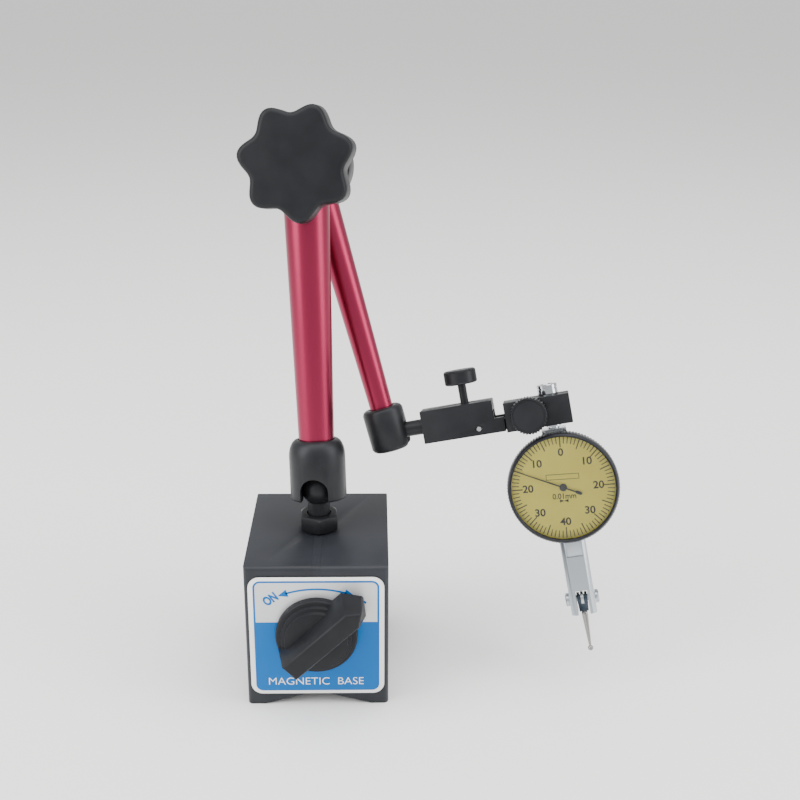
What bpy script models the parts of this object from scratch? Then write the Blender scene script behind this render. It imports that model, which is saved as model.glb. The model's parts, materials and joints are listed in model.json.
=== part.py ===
"""Lever dial indicator on an articulated magnetic base.

Metres, +Z up. The object stands on the two foot rails of its base, with the switch knob to the front (-Y).
Each arm has a frame of its own, an empty on its joint, with +Z along the arm and +Y to the back.
"""

import math

import bmesh
import bpy
from mathutils import Matrix, Vector

# Clearance between pieces that touch, and the sides of a round piece.
GAP = 0.0003
COARSE = 16
ROUND = 24
FINE = 40
SHARP = math.radians(20)
PAST = 0.001
CLOSE = 1e-5
TURNED_CHAMFER = 0.0004

# Magnetic base
BASE_WIDTH = 0.050
BASE_DEPTH = 0.060
BASE_HEIGHT = 0.055
EDGE_RADIUS = 0.0015
FOOT_WIDTH = 0.006
GROOVE_DEPTH = 0.0052
SPACER_WIDTH = 0.003
ROTOR_HEIGHT = 0.030
ROTOR_RADIUS = 0.015
ROTOR_CAP_LENGTH = 0.0075
ROTOR_END_PLAY = 0.0005
SPINDLE_RADIUS = 0.003
LABEL_WIDTH = 0.047
LABEL_HEIGHT = 0.0465
LABEL_CORNER = 0.004
LABEL_THICKNESS = 0.0008
LABEL_BOTTOM = 0.005
COVER_WIDTH = 0.046
COVER_HEIGHT = 0.034
COVER_THICKNESS = 0.0015
COVER_SCREW_X = 0.0195
SCREW_RADIUS = 0.0015
SCREW_HEAD_RADIUS = 0.0026
SCREW_HEAD_HEIGHT = 0.0016
SCREW_LENGTH = 0.007

# Switch knob
KNOB_RADIUS = 0.01425
KNOB_RIM = 0.003
KNOB_STEP = 0.0015
KNOB_STEP_RADIUS = 0.0124
KNOB_HUB_RADIUS = 0.011
KNOB_POINTER = 0.0222
KNOB_TAIL = 0.0128
KNOB_BAR_WIDTH = 0.0125
KNOB_BAR_HEIGHT = 0.013
KNOB_BAR_TOP = 0.0064
KNOB_POINT_START = 0.0178
KNOB_BAR_EDGE = 0.0008
KNOB_BORE = 0.0093
KNOB_OFF_ANGLE = 43.5

# Lower ball joint
BALL_ABOVE_BASE = 0.016
BALL_HEIGHT = BASE_HEIGHT + BALL_ABOVE_BASE
STUD_RADIUS = 0.004
STUD_THREAD = 0.0067
NUT_ACROSS_FLATS = 0.013
NUT_HEIGHT = 0.0061
NUT_TURN = 4.0
LOWER_BALL = 0.0062
LOWER_SOCKET_RADIUS = 0.0101
LOWER_SOCKET_RIM = 0.0037
LOWER_SOCKET_SHOULDER = 0.012
LOWER_SOCKET_TOP = 0.018
LOWER_SOCKET_EDGE = 0.0006
LOWER_SLOT = 0.010

# Arms
ARM_YAW = -8.0
ARM_LEAN = -12.0
LOWER_LEAN = -3.6
LOWER_LENGTH = 0.1145
LOWER_TUBE_BOTTOM = 0.00635
LOWER_TUBE_TOP = 0.0082
LOWER_TUBE_BORE = 0.0032
LOWER_ROD = 0.0025
UPPER_LENGTH = 0.100
UPPER_TUBE_TOP = 0.00545
UPPER_TUBE_BOTTOM = 0.0042
UPPER_TUBE_BORE = 0.0022
UPPER_ROD = 0.0016

# Elbow with its central lock
ELBOW_ANGLE = 166.0
LOWER_HEAD_RADIUS = 0.010
LOWER_HEAD_WIDTH = 0.017
UPPER_HEAD_RADIUS = 0.01425
UPPER_HEAD_WIDTH = 0.011
HEAD_SPACE = 0.0005
BOLT_BORE = 0.0046
BOLT_RADIUS = 0.0032
BOLT_CONE = 0.0041
BOLT_THREAD = 0.003
BOLT_HEAD_RADIUS = 0.0072
BOLT_HEAD_HEIGHT = 0.0015
COUNTERBORE_DEPTH = 0.0024
ROD_END = 0.0052
REAR_CAP_RADIUS = 0.0125
REAR_CAP_THICKNESS = 0.0014
STAR_LOBES = 7
STAR_TIP = 0.0204
STAR_VALLEY = 0.0167
STAR_THICKNESS = 0.009
STAR_LOBE_ANGLE = -87.3
STAR_EDGE = 0.0015
INSERT_RADIUS = 0.0046
INSERT_LENGTH = 0.0068

# Upper ball joint
UPPER_BALL = 0.0045
UPPER_SHANK = 0.0028
UPPER_SOCKET_RADIUS = 0.0075
UPPER_SOCKET_MOUTH = 0.0065
UPPER_SOCKET_LENGTH = 0.0095
UPPER_SOCKET_NOSE = 0.002
UPPER_SOCKET_EDGE = 0.0008
UPPER_SLOT = 0.0066
CLAMP_SWING = -174.7
CLAMP_ROLL = -3.5

# Indicator holder: housing, lever jaw and their screws, measured from the upper ball along the shank
HOUSING_START = 0.0132
HOUSING_END = 0.043
HOUSING_WIDTH = 0.012
HOUSING_HALF_HEIGHT = 0.0059
NOTCH_START = 0.0395
NOTCH_FLOOR = -0.0007
CHANNEL_START = 0.0225
CHANNEL_WIDTH = 0.0064
CHANNEL_ROOF = 0.002
SHANK_DEPTH = 0.008
PIN_ALONG = 0.0335
PIN_UP = -0.0036
PIN_RADIUS = 0.00085
JAW_END = 0.067
JAW_TOP = 0.004
JAW_BOTTOM = -0.0066
JAW_WIDTH = 0.011
TONGUE_THICKNESS = 0.004
TONGUE_START = 0.023
SLIT_START = 0.048
SLIT_WIDTH = 0.0008
THUMB_ALONG = 0.0295
THUMB_SHANK = 0.0015
THUMB_HEAD_RADIUS = 0.0059
THUMB_HEAD_BOTTOM = 0.0131
THUMB_HEAD_HEIGHT = 0.0052
CLAMP_KNOB_ALONG = 0.052
CLAMP_KNOB_UP = -0.0013
CLAMP_KNOB_RADIUS = 0.0067
CLAMP_KNOB_LENGTH = 0.0065
CLAMP_SCREW_RADIUS = 0.002
CLAMP_SCREW_DEPTH = 0.0095
SPRING_ALONG = 0.0373
SPRING_RADIUS = 0.0011
SPRING_WIRE = 0.0002
SPRING_TURNS = 3

# Indicator, measured from the middle of its dial
STEM_ALONG = 0.0597
STEM_RADIUS = 0.003
STEM_HEAD_RADIUS = 0.00365
STEM_HEAD_HEIGHT = 0.0037
STEM_SPIGOT = 0.002
DIAL_DROP = 0.0288
BEZEL_RADIUS = 0.020
BEZEL_BACK = -0.0032
BEZEL_FRONT = -0.011
BEZEL_OPENING = 0.0184
BEZEL_WALL = 0.001
BEZEL_LIP = 0.0011
BEZEL_CHAMFER = 0.0007
DIAL_RADIUS = 0.0187
DIAL_FRONT = -0.0076
DIAL_THICKNESS = 0.0005
CRYSTAL_FRONT = -0.0096
CRYSTAL_THICKNESS = 0.0007
CRYSTAL_DOME = 0.0004
CASE_RADIUS = 0.0177
CASE_FRONT = -0.0064
CASE_BACK = 0.0045
CASE_BORE = 0.0145
CASE_CHAMFER = 0.0015
NECK_WIDTH = 0.0092
NECK_FACE = 0.0065
NECK_DEPTH = 0.0088
NECK_SHOULDER = 0.0015
NECK_BOTTOM = 0.0477
NECK_RECESS_WIDTH = 0.0056
NECK_RECESS_BOTTOM = 0.0263
NECK_RECESS_DEPTH = 0.0006
FORK_TOP = 0.0389
FORK_SLOT = 0.0043
TUNNEL_WIDTH = 0.002
TUNNEL_DEPTH = 0.0058
RAIL_TOP = 0.0196
RAIL_NARROW = 0.0046
RAIL_WIDE = 0.0066
RAIL_HEIGHT = 0.0012
RAIL_BACK = 0.0038
SHOE_WIDTH = 0.0088
SHOE_BOTTOM = 0.0181
SHOE_TOP = 0.0207
BACK_COVER_RADIUS = 0.0165
BACK_COVER_THICKNESS = 0.001
BACK_COVER_SPIGOT = 0.0005
PLATE_FRONT = -0.0049
PLATE_THICKNESS = 0.0008
LUG_X = 0.0045
LUG_WIDTH = 0.0008
LUG_HEIGHT = 0.003
LUG_BACK = 0.0012

# Movement
ARBOR_RADIUS = 0.0005
POINTER_LENGTH = 0.0182
POINTER_TAIL = 0.007
POINTER_TIP = 0.00024
POINTER_ROOT = 0.0007
POINTER_TAIL_WIDTH = 0.0012
POINTER_HUB = 0.00135
POINTER_FRONT = -0.00845
POINTER_THICKNESS = 0.00025
POINTER_READING = 62.4
HAIRSPRING_RADIUS = 0.004
HAIRSPRING_TURNS = 3
HAIRSPRING_WIRE = 0.00012
HAIRSPRING_PLACE = -0.0059
CROWN_RADIUS = 0.0032
CROWN_FACE = 0.00085
CROWN_THICKNESS = 0.0008
CROWN_MESH = 0.0008
CROWN_PINION = 0.0015
CROWN_PINION_WIDTH = 0.0012
CROWN_ARBOR = 0.00045
PIVOT_DROP = 0.0425
PIVOT_SHANK = 0.0012
PIVOT_HEAD_RADIUS = 0.0024
PIVOT_HEAD_LENGTH = 0.0013
SECTOR_THICKNESS = 0.001
SECTOR_HUB = 0.0026
SECTOR_BLADE = 0.0016
SECTOR_HALF_ANGLE = 3.2
SECTOR_HEAD_DEPTH = 0.003
HOLDER_WIDTH = 0.0037
HOLDER_SLOT = 0.0018
HOLDER_RADIUS = 0.0022
HOLDER_LENGTH = 0.0047
HOLDER_END_RADIUS = 0.0013
HOLDER_WEB = 0.0032
STYLUS_TOP_RADIUS = 0.0011
STYLUS_END_RADIUS = 0.00045
STYLUS_BALL = 0.001
STYLUS_LENGTH = 0.0189
STYLUS_SPIGOT = 0.0006
STYLUS_SPIGOT_LENGTH = 0.001

AXES = {
    "Z": Matrix.Identity(4),
    "Y": Matrix.Rotation(math.radians(-90), 4, "X"),
    "X": Matrix.Rotation(math.radians(90), 4, "Y"),
    "-Z": Matrix.Rotation(math.radians(180), 4, "X"),
}


def clear_scene():
    for obj in list(bpy.data.objects):
        bpy.data.objects.remove(obj)


def new_collection(name):
    collection = bpy.data.collections.new(name)
    bpy.context.scene.collection.children.link(collection)
    return collection


def new_material(name, colour, roughness, metallic=0.0, alpha=1.0):
    material = bpy.data.materials.new(name)
    material.use_nodes = True
    shader = material.node_tree.nodes["Principled BSDF"]
    shader.inputs["Base Color"].default_value = (*colour, 1.0)
    shader.inputs["Roughness"].default_value = roughness
    shader.inputs["Metallic"].default_value = metallic
    shader.inputs["Alpha"].default_value = alpha
    return material


clear_scene()
PARTS = new_collection("dial_indicator_on_magnetic_base")
CUTTERS = new_collection("cutters")

PAINTED_STEEL = new_material("black_painted_steel", (0.050, 0.052, 0.058), 0.45)
BRASS = new_material("brass", (0.62, 0.45, 0.18), 0.35, 1.0)
STEEL = new_material("bright_steel", (0.50, 0.50, 0.50), 0.30, 1.0)
FERRITE = new_material("ferrite_magnet", (0.060, 0.060, 0.065), 0.70)
BLACK_PLASTIC = new_material("black_plastic", (0.025, 0.026, 0.030), 0.40)
BLACK_OXIDE = new_material("black_oxide_steel", (0.030, 0.030, 0.033), 0.38, 0.6)
PRINTED_LABEL = new_material("printed_aluminium_label", (0.10, 0.32, 0.55), 0.35)
RED_ANODISED = new_material("red_anodised_aluminium", (0.42, 0.035, 0.085), 0.30, 0.9)
CHROME = new_material("chrome", (0.75, 0.76, 0.78), 0.10, 1.0)
SATIN_CASE = new_material("satin_chrome_case", (0.42, 0.44, 0.46), 0.35, 1.0)
SLATE_BEZEL = new_material("slate_bezel", (0.065, 0.070, 0.080), 0.35, 0.7)
CLEAR_ACRYLIC = new_material("clear_acrylic", (0.95, 0.95, 0.95), 0.03, 0.0, 0.15)
YELLOW_DIAL = new_material("yellow_dial", (0.58, 0.50, 0.14), 0.55)
POINTER_BLACK = new_material("pointer_black", (0.015, 0.015, 0.015), 0.40)


# Frames and shapes


def new_frame(name, parent=None, at=(0, 0, 0), turn=None):
    """An empty at a place in its parent's frame, turned by a rotation matrix."""
    frame = bpy.data.objects.new(name, None)
    frame.empty_display_size = 0.005
    PARTS.objects.link(frame)
    frame.parent = parent
    frame.matrix_local = Matrix.Translation(at) @ (turn or Matrix.Identity(4))
    return frame


def turn_about(axis, degrees):
    return Matrix.Rotation(math.radians(degrees), 4, axis)


def place(obj, frame, material, at, turn):
    """Puts an object in a frame as a part, or as a cutter when it has no material."""
    obj.parent = frame
    obj.matrix_local = Matrix.Translation(at) @ turn
    if material is None:
        CUTTERS.objects.link(obj)
        obj.hide_render = True
        obj.display_type = "WIRE"
    else:
        PARTS.objects.link(obj)
        obj.data.materials.append(material)
    return obj


def box(name, frame, material, low, high):
    """A box between two corners of its frame."""
    low, high = Vector(low), Vector(high)
    mesh = bpy.data.meshes.new(name)
    bm = bmesh.new()
    bmesh.ops.create_cube(bm, size=1.0, matrix=Matrix.Diagonal((*(high - low), 1.0)))
    bm.to_mesh(mesh)
    bm.free()
    obj = bpy.data.objects.new(name, mesh)
    return place(obj, frame, material, (low + high) / 2, Matrix.Identity(4))


def turned(name, frame, material, profile, along="Z", at=(0, 0, 0), steps=ROUND, closed=False):
    """A profile of (radius, height) points, down its outer side, turned about an axis of its frame."""
    mesh = bpy.data.meshes.new(name)
    count = len(profile)
    edges = [(i, (i + 1) % count) for i in range(count if closed else count - 1)]
    mesh.from_pydata([(radius, 0, height) for radius, height in profile], edges, [])
    obj = bpy.data.objects.new(name, mesh)
    place(obj, frame, material, at, AXES[along])
    screw = obj.modifiers.new("turn", "SCREW")
    screw.axis = "Z"
    screw.steps = steps
    screw.render_steps = steps
    screw.use_merge_vertices = True
    screw.merge_threshold = 1e-6
    screw.use_smooth_shade = False
    return obj


def rod(name, frame, material, radius, top, bottom, along="Z", at=(0, 0, 0), steps=COARSE):
    profile = [(0, top), (radius, top), (radius, bottom), (0, bottom)]
    return turned(name, frame, material, profile, along, at, steps)


def tube(name, frame, material, outer, inner, top, bottom, along="Z", at=(0, 0, 0), steps=ROUND):
    profile = [(outer, top), (outer, bottom), (inner, bottom), (inner, top)]
    return turned(name, frame, material, profile, along, at, steps, closed=True)


def mesh_from_curve(obj):
    """Replaces a curve object by its evaluated mesh, with the caps welded on."""
    bpy.context.view_layer.update()
    graph = bpy.context.evaluated_depsgraph_get()
    mesh = bpy.data.meshes.new_from_object(obj.evaluated_get(graph))
    bm = bmesh.new()
    bm.from_mesh(mesh)
    bmesh.ops.remove_doubles(bm, verts=bm.verts, dist=1e-7)
    bmesh.ops.recalc_face_normals(bm, faces=bm.faces)
    bm.to_mesh(mesh)
    bm.free()
    name = obj.name
    bpy.data.objects.remove(obj)
    return bpy.data.objects.new(name, mesh)


def flat(name, frame, material, outlines, thickness, at=(0, 0, 0), turn=None):
    """Outlines in a plane, the inner ones as holes, with their thickness half to each side of it."""
    curve = bpy.data.curves.new(name, "CURVE")
    curve.dimensions = "2D"
    curve.fill_mode = "BOTH"
    curve.extrude = thickness / 2
    for outline in outlines:
        spline = curve.splines.new("POLY")
        spline.points.add(len(outline) - 1)
        for point, (x, y) in zip(spline.points, outline):
            point.co = (x, y, 0, 1)
        spline.use_cyclic_u = True
    drawn = bpy.data.objects.new(name, curve)
    bpy.context.scene.collection.objects.link(drawn)
    obj = mesh_from_curve(drawn)
    return place(obj, frame, material, at, turn or Matrix.Identity(4))


def wire(name, frame, material, points, radius, at=(0, 0, 0)):
    """A round wire through a list of points, with closed ends."""
    curve = bpy.data.curves.new(name, "CURVE")
    curve.dimensions = "3D"
    curve.bevel_depth = radius
    curve.bevel_resolution = 0
    curve.use_fill_caps = True
    spline = curve.splines.new("POLY")
    spline.points.add(len(points) - 1)
    for point, co in zip(spline.points, points):
        point.co = (*co, 1)
    obj = bpy.data.objects.new(name, curve)
    return place(obj, frame, material, at, Matrix.Identity(4))


def boolean(obj, other, operation):
    modifier = obj.modifiers.new(other.name, "BOOLEAN")
    modifier.operation = operation
    modifier.solver = "EXACT"
    modifier.object = other


def cut(obj, *cutters):
    for cutter in cutters:
        boolean(obj, cutter, "DIFFERENCE")


def join(obj, *others):
    for other in others:
        boolean(obj, other, "UNION")


def bevel_edges(obj, width, segments, wanted):
    """Rounds the corner edges whose two ends both pass a test on their place."""
    bm = bmesh.new()
    bm.from_mesh(obj.data)
    corners = [e for e in bm.edges if e.calc_face_angle(0) > SHARP]
    edges = [e for e in corners if all(wanted(v.co) for v in e.verts)]
    bmesh.ops.bevel(bm, geom=edges, offset=width, segments=segments, affect="EDGES", profile=0.5)
    bm.to_mesh(obj.data)
    bm.free()


def arc(centre, radius, start, end, steps):
    """Points on an arc, from one angle to another in degrees."""
    angles = [math.radians(start + (end - start) * i / steps) for i in range(steps + 1)]
    return [(centre[0] + radius * math.cos(a), centre[1] + radius * math.sin(a)) for a in angles]


def circle(radius, steps=ROUND, centre=(0, 0)):
    return arc(centre, radius, 0, 360, steps)[:-1]


def rounded_rectangle(width, height, corner, steps=5):
    outline = []
    for quarter, (sx, sy) in enumerate([(1, 1), (-1, 1), (-1, -1), (1, -1)]):
        centre = (sx * (width / 2 - corner), sy * (height / 2 - corner))
        outline += arc(centre, corner, 90 * quarter, 90 * quarter + 90, steps)
    return outline


def chord(radius, distance):
    """Half the width of a circle at a distance from its middle."""
    return math.sqrt(radius**2 - distance**2)


# Frames, from the foot of the base to the stylus

UPRIGHT = turn_about("X", 90)
LABEL_FRONT = -(BASE_DEPTH / 2 + GAP + LABEL_THICKNESS)
UPPER_OFFSET = LOWER_HEAD_WIDTH / 2 + HEAD_SPACE + UPPER_HEAD_WIDTH / 2

ROOT = new_frame("row_origin")
SWITCH = new_frame("switch_axis", ROOT, (0, LABEL_FRONT - GAP, ROTOR_HEIGHT), UPRIGHT)
SWIVEL = new_frame("lower_swivel_axis", ROOT, (0, 0, BALL_HEIGHT))
ARM_PLANE = turn_about("Z", ARM_YAW) @ turn_about("X", ARM_LEAN)
LOWER_ARM = new_frame("lower_tilt_axis", SWIVEL, turn=ARM_PLANE @ turn_about("Y", LOWER_LEAN))
ELBOW = new_frame("lock_knob_axis", LOWER_ARM, (0, 0, LOWER_LENGTH))
UPPER_ARM = new_frame("elbow_axis", ELBOW, (0, UPPER_OFFSET, 0), turn_about("Y", ELBOW_ANGLE))
UPPER_JOINT = new_frame("upper_tilt_axis", UPPER_ARM, (0, 0, UPPER_LENGTH))
HOLDER = new_frame(
    "clamp_roll_axis", UPPER_JOINT, turn=turn_about("Y", CLAMP_SWING) @ turn_about("X", CLAMP_ROLL)
)
THUMB = new_frame("fine_screw_axis", HOLDER, (THUMB_ALONG, 0, 0))
JAW_PIVOT = new_frame("fine_lever_axis", HOLDER, (PIN_ALONG, 0, PIN_UP))
CLAMP_KNOB = new_frame("clamp_knob_axis", HOLDER, (CLAMP_KNOB_ALONG, 0, CLAMP_KNOB_UP))
INDICATOR = new_frame("indicator_turn_axis", HOLDER, (STEM_ALONG, 0, -DIAL_DROP))
DIAL = new_frame("bezel_axis", INDICATOR)
POINTER = new_frame("pointer_axis", INDICATOR)
CROWN = new_frame("crown_gear_axis", INDICATOR)
LEVER = new_frame("lever_axis", INDICATOR, (0, 0, -PIVOT_DROP))
STYLUS = new_frame("stylus_axis", LEVER)


# Magnetic base


def pole_outline():
    """The right pole from the front: foot, side, top, spacer face and half of the rotor bore."""
    inner = SPACER_WIDTH / 2 + GAP
    groove_half = BASE_WIDTH / 2 - FOOT_WIDTH
    bore = ROTOR_RADIUS + GAP
    start = math.degrees(math.acos(inner / bore))
    return [
        (inner, GROOVE_DEPTH * (1 - inner / groove_half)),
        (groove_half, 0),
        (BASE_WIDTH / 2, 0),
        (BASE_WIDTH / 2, BASE_HEIGHT),
        (inner, BASE_HEIGHT),
        *arc((0, ROTOR_HEIGHT), bore, start, -start, ROUND // 2),
    ]


def at_outer_edge(co):
    """The upright corner edges and the top edges of a pole, in its outline's frame."""
    at_side = abs(co.x) > BASE_WIDTH / 2 - CLOSE and abs(co.z) > BASE_DEPTH / 2 - CLOSE
    at_top = co.y > BASE_HEIGHT - CLOSE and abs(co.z) > BASE_DEPTH / 2 - CLOSE
    return at_side or at_top


def pole(name, side, stud_hole, screw_holes):
    outline = pole_outline()
    if side < 0:
        outline = [(-x, z) for x, z in reversed(outline)]
    obj = flat(name, ROOT, PAINTED_STEEL, [outline], BASE_DEPTH, turn=UPRIGHT)
    bevel_edges(obj, EDGE_RADIUS, 2, at_outer_edge)
    cut(obj, stud_hole, screw_holes[side])
    return obj


def cover_screw_y():
    return BASE_DEPTH / 2 + GAP + COVER_THICKNESS + GAP


def base_block():
    stud_hole = rod(
        "stud_hole", ROOT, None, STUD_RADIUS + GAP, BASE_HEIGHT + PAST, BASE_HEIGHT - STUD_THREAD - GAP * 3
    )
    screw_holes = {
        side: rod(
            f"cover_screw_hole_{side}",
            ROOT,
            None,
            SCREW_RADIUS + GAP,
            cover_screw_y(),
            cover_screw_y() - SCREW_LENGTH - GAP,
            "Y",
            (side * COVER_SCREW_X, 0, ROTOR_HEIGHT),
        )
        for side in (-1, 1)
    }
    pole("pole_left", -1, stud_hole, screw_holes)
    pole("pole_right", 1, stud_hole, screw_holes)
    half, depth = SPACER_WIDTH / 2, BASE_DEPTH / 2
    bore = ROTOR_RADIUS + GAP
    upper = box(
        "spacer_upper",
        ROOT,
        BRASS,
        (-half, -depth, ROTOR_HEIGHT + bore),
        (half, depth, BASE_HEIGHT),
    )
    cut(upper, stud_hole)
    box(
        "spacer_lower",
        ROOT,
        BRASS,
        (-half, -depth, GROOVE_DEPTH),
        (half, depth, ROTOR_HEIGHT - bore),
    )


def rear_cover():
    holes = [circle(SCREW_RADIUS + GAP, COARSE, (side * COVER_SCREW_X, 0)) for side in (-1, 1)]
    outline = rounded_rectangle(COVER_WIDTH, COVER_HEIGHT, LABEL_CORNER)
    place_y = BASE_DEPTH / 2 + GAP + COVER_THICKNESS / 2
    at = (0, place_y, ROTOR_HEIGHT)
    flat("rear_cover", ROOT, PAINTED_STEEL, [outline, *holes], COVER_THICKNESS, at, UPRIGHT)
    for word, side in (("left", -1), ("right", 1)):
        face = cover_screw_y()
        profile = [
            (0, face + SCREW_HEAD_HEIGHT),
            (SCREW_HEAD_RADIUS * 0.8, face + SCREW_HEAD_HEIGHT),
            (SCREW_HEAD_RADIUS, face + SCREW_HEAD_HEIGHT / 2),
            (SCREW_HEAD_RADIUS, face),
            (SCREW_RADIUS, face),
            (SCREW_RADIUS, face - SCREW_LENGTH),
            (0, face - SCREW_LENGTH),
        ]
        at = (side * COVER_SCREW_X, 0, ROTOR_HEIGHT)
        turned(f"rear_cover_screw_{word}", ROOT, STEEL, profile, "Y", at, COARSE)


def label_plate():
    outline = rounded_rectangle(LABEL_WIDTH, LABEL_HEIGHT, LABEL_CORNER)
    hole = circle(SPINDLE_RADIUS + GAP, COARSE, (0, ROTOR_HEIGHT - LABEL_BOTTOM - LABEL_HEIGHT / 2))
    at = (0, LABEL_FRONT + LABEL_THICKNESS / 2, LABEL_BOTTOM + LABEL_HEIGHT / 2)
    flat("label_plate", ROOT, PRINTED_LABEL, [outline, hole], LABEL_THICKNESS, at, UPRIGHT)


def magnet_rotor():
    """The switched magnet with its two end caps and spindle, along the switch axis into the base."""
    front = LABEL_FRONT - GAP + BASE_DEPTH / 2 - ROTOR_END_PLAY
    back = front - BASE_DEPTH + 2 * ROTOR_END_PLAY
    bore = SPINDLE_RADIUS + GAP
    front_cap_end = front - ROTOR_CAP_LENGTH
    rear_cap_end = back + ROTOR_CAP_LENGTH
    tube("rotor_cap_front", SWITCH, BRASS, ROTOR_RADIUS, bore, front, front_cap_end)
    magnet_ends = (front_cap_end - GAP, rear_cap_end + GAP)
    tube("magnet_rotor", SWITCH, FERRITE, ROTOR_RADIUS, bore, *magnet_ends)
    tube("rotor_cap_rear", SWITCH, BRASS, ROTOR_RADIUS, bore, rear_cap_end, back)
    spindle_end = back + ROTOR_CAP_LENGTH / 2
    rod("switch_spindle", SWITCH, STEEL, SPINDLE_RADIUS, KNOB_BORE - GAP, spindle_end)


def switch_knob():
    """A stepped disc with a pointed bar across it, over the end of the spindle."""
    profile = [
        (0, KNOB_RIM + KNOB_STEP * 2),
        (KNOB_HUB_RADIUS, KNOB_RIM + KNOB_STEP * 2),
        (KNOB_STEP_RADIUS, KNOB_RIM + KNOB_STEP),
        (KNOB_RADIUS - KNOB_STEP / 3, KNOB_RIM),
        (KNOB_RADIUS, KNOB_RIM * 0.8),
        (KNOB_RADIUS, 0),
        (0, 0),
    ]
    knob = turned("switch_knob", SWITCH, BLACK_PLASTIC, profile, steps=FINE)
    half = KNOB_BAR_WIDTH / 2
    outline = [
        (KNOB_POINTER, 0),
        (KNOB_POINT_START, half),
        (-KNOB_TAIL, half),
        (-KNOB_TAIL, -half),
        (KNOB_POINT_START, -half),
    ]
    base = KNOB_RIM / 2
    height = KNOB_BAR_HEIGHT - base
    at = (0, 0, base + height / 2)
    turn = turn_about("Z", KNOB_OFF_ANGLE)
    bar = flat("switch_knob_bar", SWITCH, None, [outline], height, at, turn)
    for vertex in bar.data.vertices:
        if vertex.co.z > 0:
            vertex.co.y *= KNOB_BAR_TOP / KNOB_BAR_WIDTH
    bevel_edges(bar, KNOB_BAR_EDGE, 2, lambda co: co.z > 0)
    join(knob, bar)
    cut(knob, rod("spindle_bore", SWITCH, None, SPINDLE_RADIUS + GAP, KNOB_BORE, -PAST))


# Lower ball joint and lower arm


def ball_arc(radius, end_height, steps):
    """Profile points from the top of a ball down to a height on its lower half."""
    end = math.asin(end_height / radius)
    angles = [math.pi / 2 + (end - math.pi / 2) * i / steps for i in range(steps + 1)]
    return [(radius * math.cos(a) if i else 0, radius * math.sin(a)) for i, a in enumerate(angles)]


def seat_profile(radius, ball, clear, top):
    """A pusher with a hollow face for a ball. The flat round the hollow stays clear of the ball's middle."""
    hollow = ball + GAP
    edge = chord(hollow, clear)
    start = math.degrees(math.atan2(clear, edge))
    inner = arc((0, 0), hollow, start, 90, 5)[:-1]
    return [(0, top), (radius, top), (radius, clear), *inner, (0, hollow)]


def lower_ball_stud():
    neck = -chord(LOWER_BALL, STUD_RADIUS)
    end = BASE_HEIGHT - STUD_THREAD - BALL_HEIGHT
    profile = [*ball_arc(LOWER_BALL, neck, 9), (STUD_RADIUS, end), (0, end)]
    turned("lower_ball_stud", SWIVEL, STEEL, profile)
    outline = circle(NUT_ACROSS_FLATS / 2 / math.cos(math.pi / 6), 6)
    bore = circle(STUD_RADIUS + GAP, ROUND)
    height = BASE_HEIGHT + GAP + NUT_HEIGHT / 2 - BALL_HEIGHT
    turn = turn_about("Z", NUT_TURN)
    flat("stud_lock_nut", SWIVEL, BLACK_OXIDE, [outline, bore], NUT_HEIGHT, (0, 0, height), turn)


def slot_outline(width, start, length):
    """A slot from the ball's middle to past the rim. Start is 1 for a rim below, -1 for one above."""
    half = width / 2
    turn = 0 if start > 0 else 180
    end = -start * length
    return [*arc((0, 0), half, turn, turn + 180, 8), (-start * half, end), (start * half, end)]


def lower_socket():
    rim, ball = -LOWER_SOCKET_RIM, LOWER_BALL + GAP
    lip = -LOWER_SOCKET_RIM * 0.8
    narrow = LOWER_TUBE_BOTTOM + GAP * 2
    rise = LOWER_SOCKET_TOP - LOWER_SOCKET_SHOULDER
    swell = LOWER_SOCKET_RADIUS - narrow
    shoulder = [
        (narrow + swell * math.sin(a), LOWER_SOCKET_SHOULDER + rise * math.cos(a))
        for a in [math.radians(18 * i) for i in range(6)]
    ]
    hollow = arc((0, 0), ball, math.degrees(math.asin(lip / ball)), 0, 4)
    profile = [
        *shoulder,
        (LOWER_SOCKET_RADIUS, rim + LOWER_SOCKET_EDGE),
        (LOWER_SOCKET_RADIUS - LOWER_SOCKET_EDGE, rim),
        (LOWER_BALL + GAP, rim),
        *hollow,
        (ball, LOWER_SOCKET_TOP),
    ]
    socket = turned("lower_socket", LOWER_ARM, BLACK_OXIDE, profile, steps=32, closed=True)
    reach = LOWER_SOCKET_RADIUS
    outline = slot_outline(LOWER_SLOT, 1, LOWER_SOCKET_RIM * 2)
    at = (0, -reach * 0.6, 0)
    cut(socket, flat("lower_socket_slot", LOWER_ARM, None, [outline], reach, at, UPRIGHT))


def lower_tube():
    spigot = LOWER_BALL
    shoulder = LOWER_SOCKET_TOP + GAP
    bottom = LOWER_SOCKET_SHOULDER + GAP
    top = LOWER_LENGTH - LOWER_HEAD_RADIUS / 2
    profile = [
        (LOWER_TUBE_TOP, top),
        (LOWER_TUBE_BOTTOM, shoulder),
        (spigot, shoulder),
        (spigot, bottom),
        (LOWER_TUBE_BORE, bottom),
        (LOWER_TUBE_BORE, top),
    ]
    shell = turned("lower_tube", LOWER_ARM, RED_ANODISED, profile, steps=32, closed=True)
    reach = LOWER_TUBE_TOP + PAST
    cope = rod("lower_tube_cope", ELBOW, None, LOWER_HEAD_RADIUS + GAP, reach, -reach, "Y", steps=FINE)
    cut(shell, cope)
    clear = STUD_RADIUS + GAP * 2
    seat_top = bottom - GAP
    seat = seat_profile(LOWER_BALL, LOWER_BALL, clear, seat_top)
    turned("lower_ball_seat", LOWER_ARM, BRASS, seat)
    rod("lower_push_rod", LOWER_ARM, STEEL, LOWER_ROD, LOWER_LENGTH - ROD_END, seat_top + GAP)


# Elbow


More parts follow.
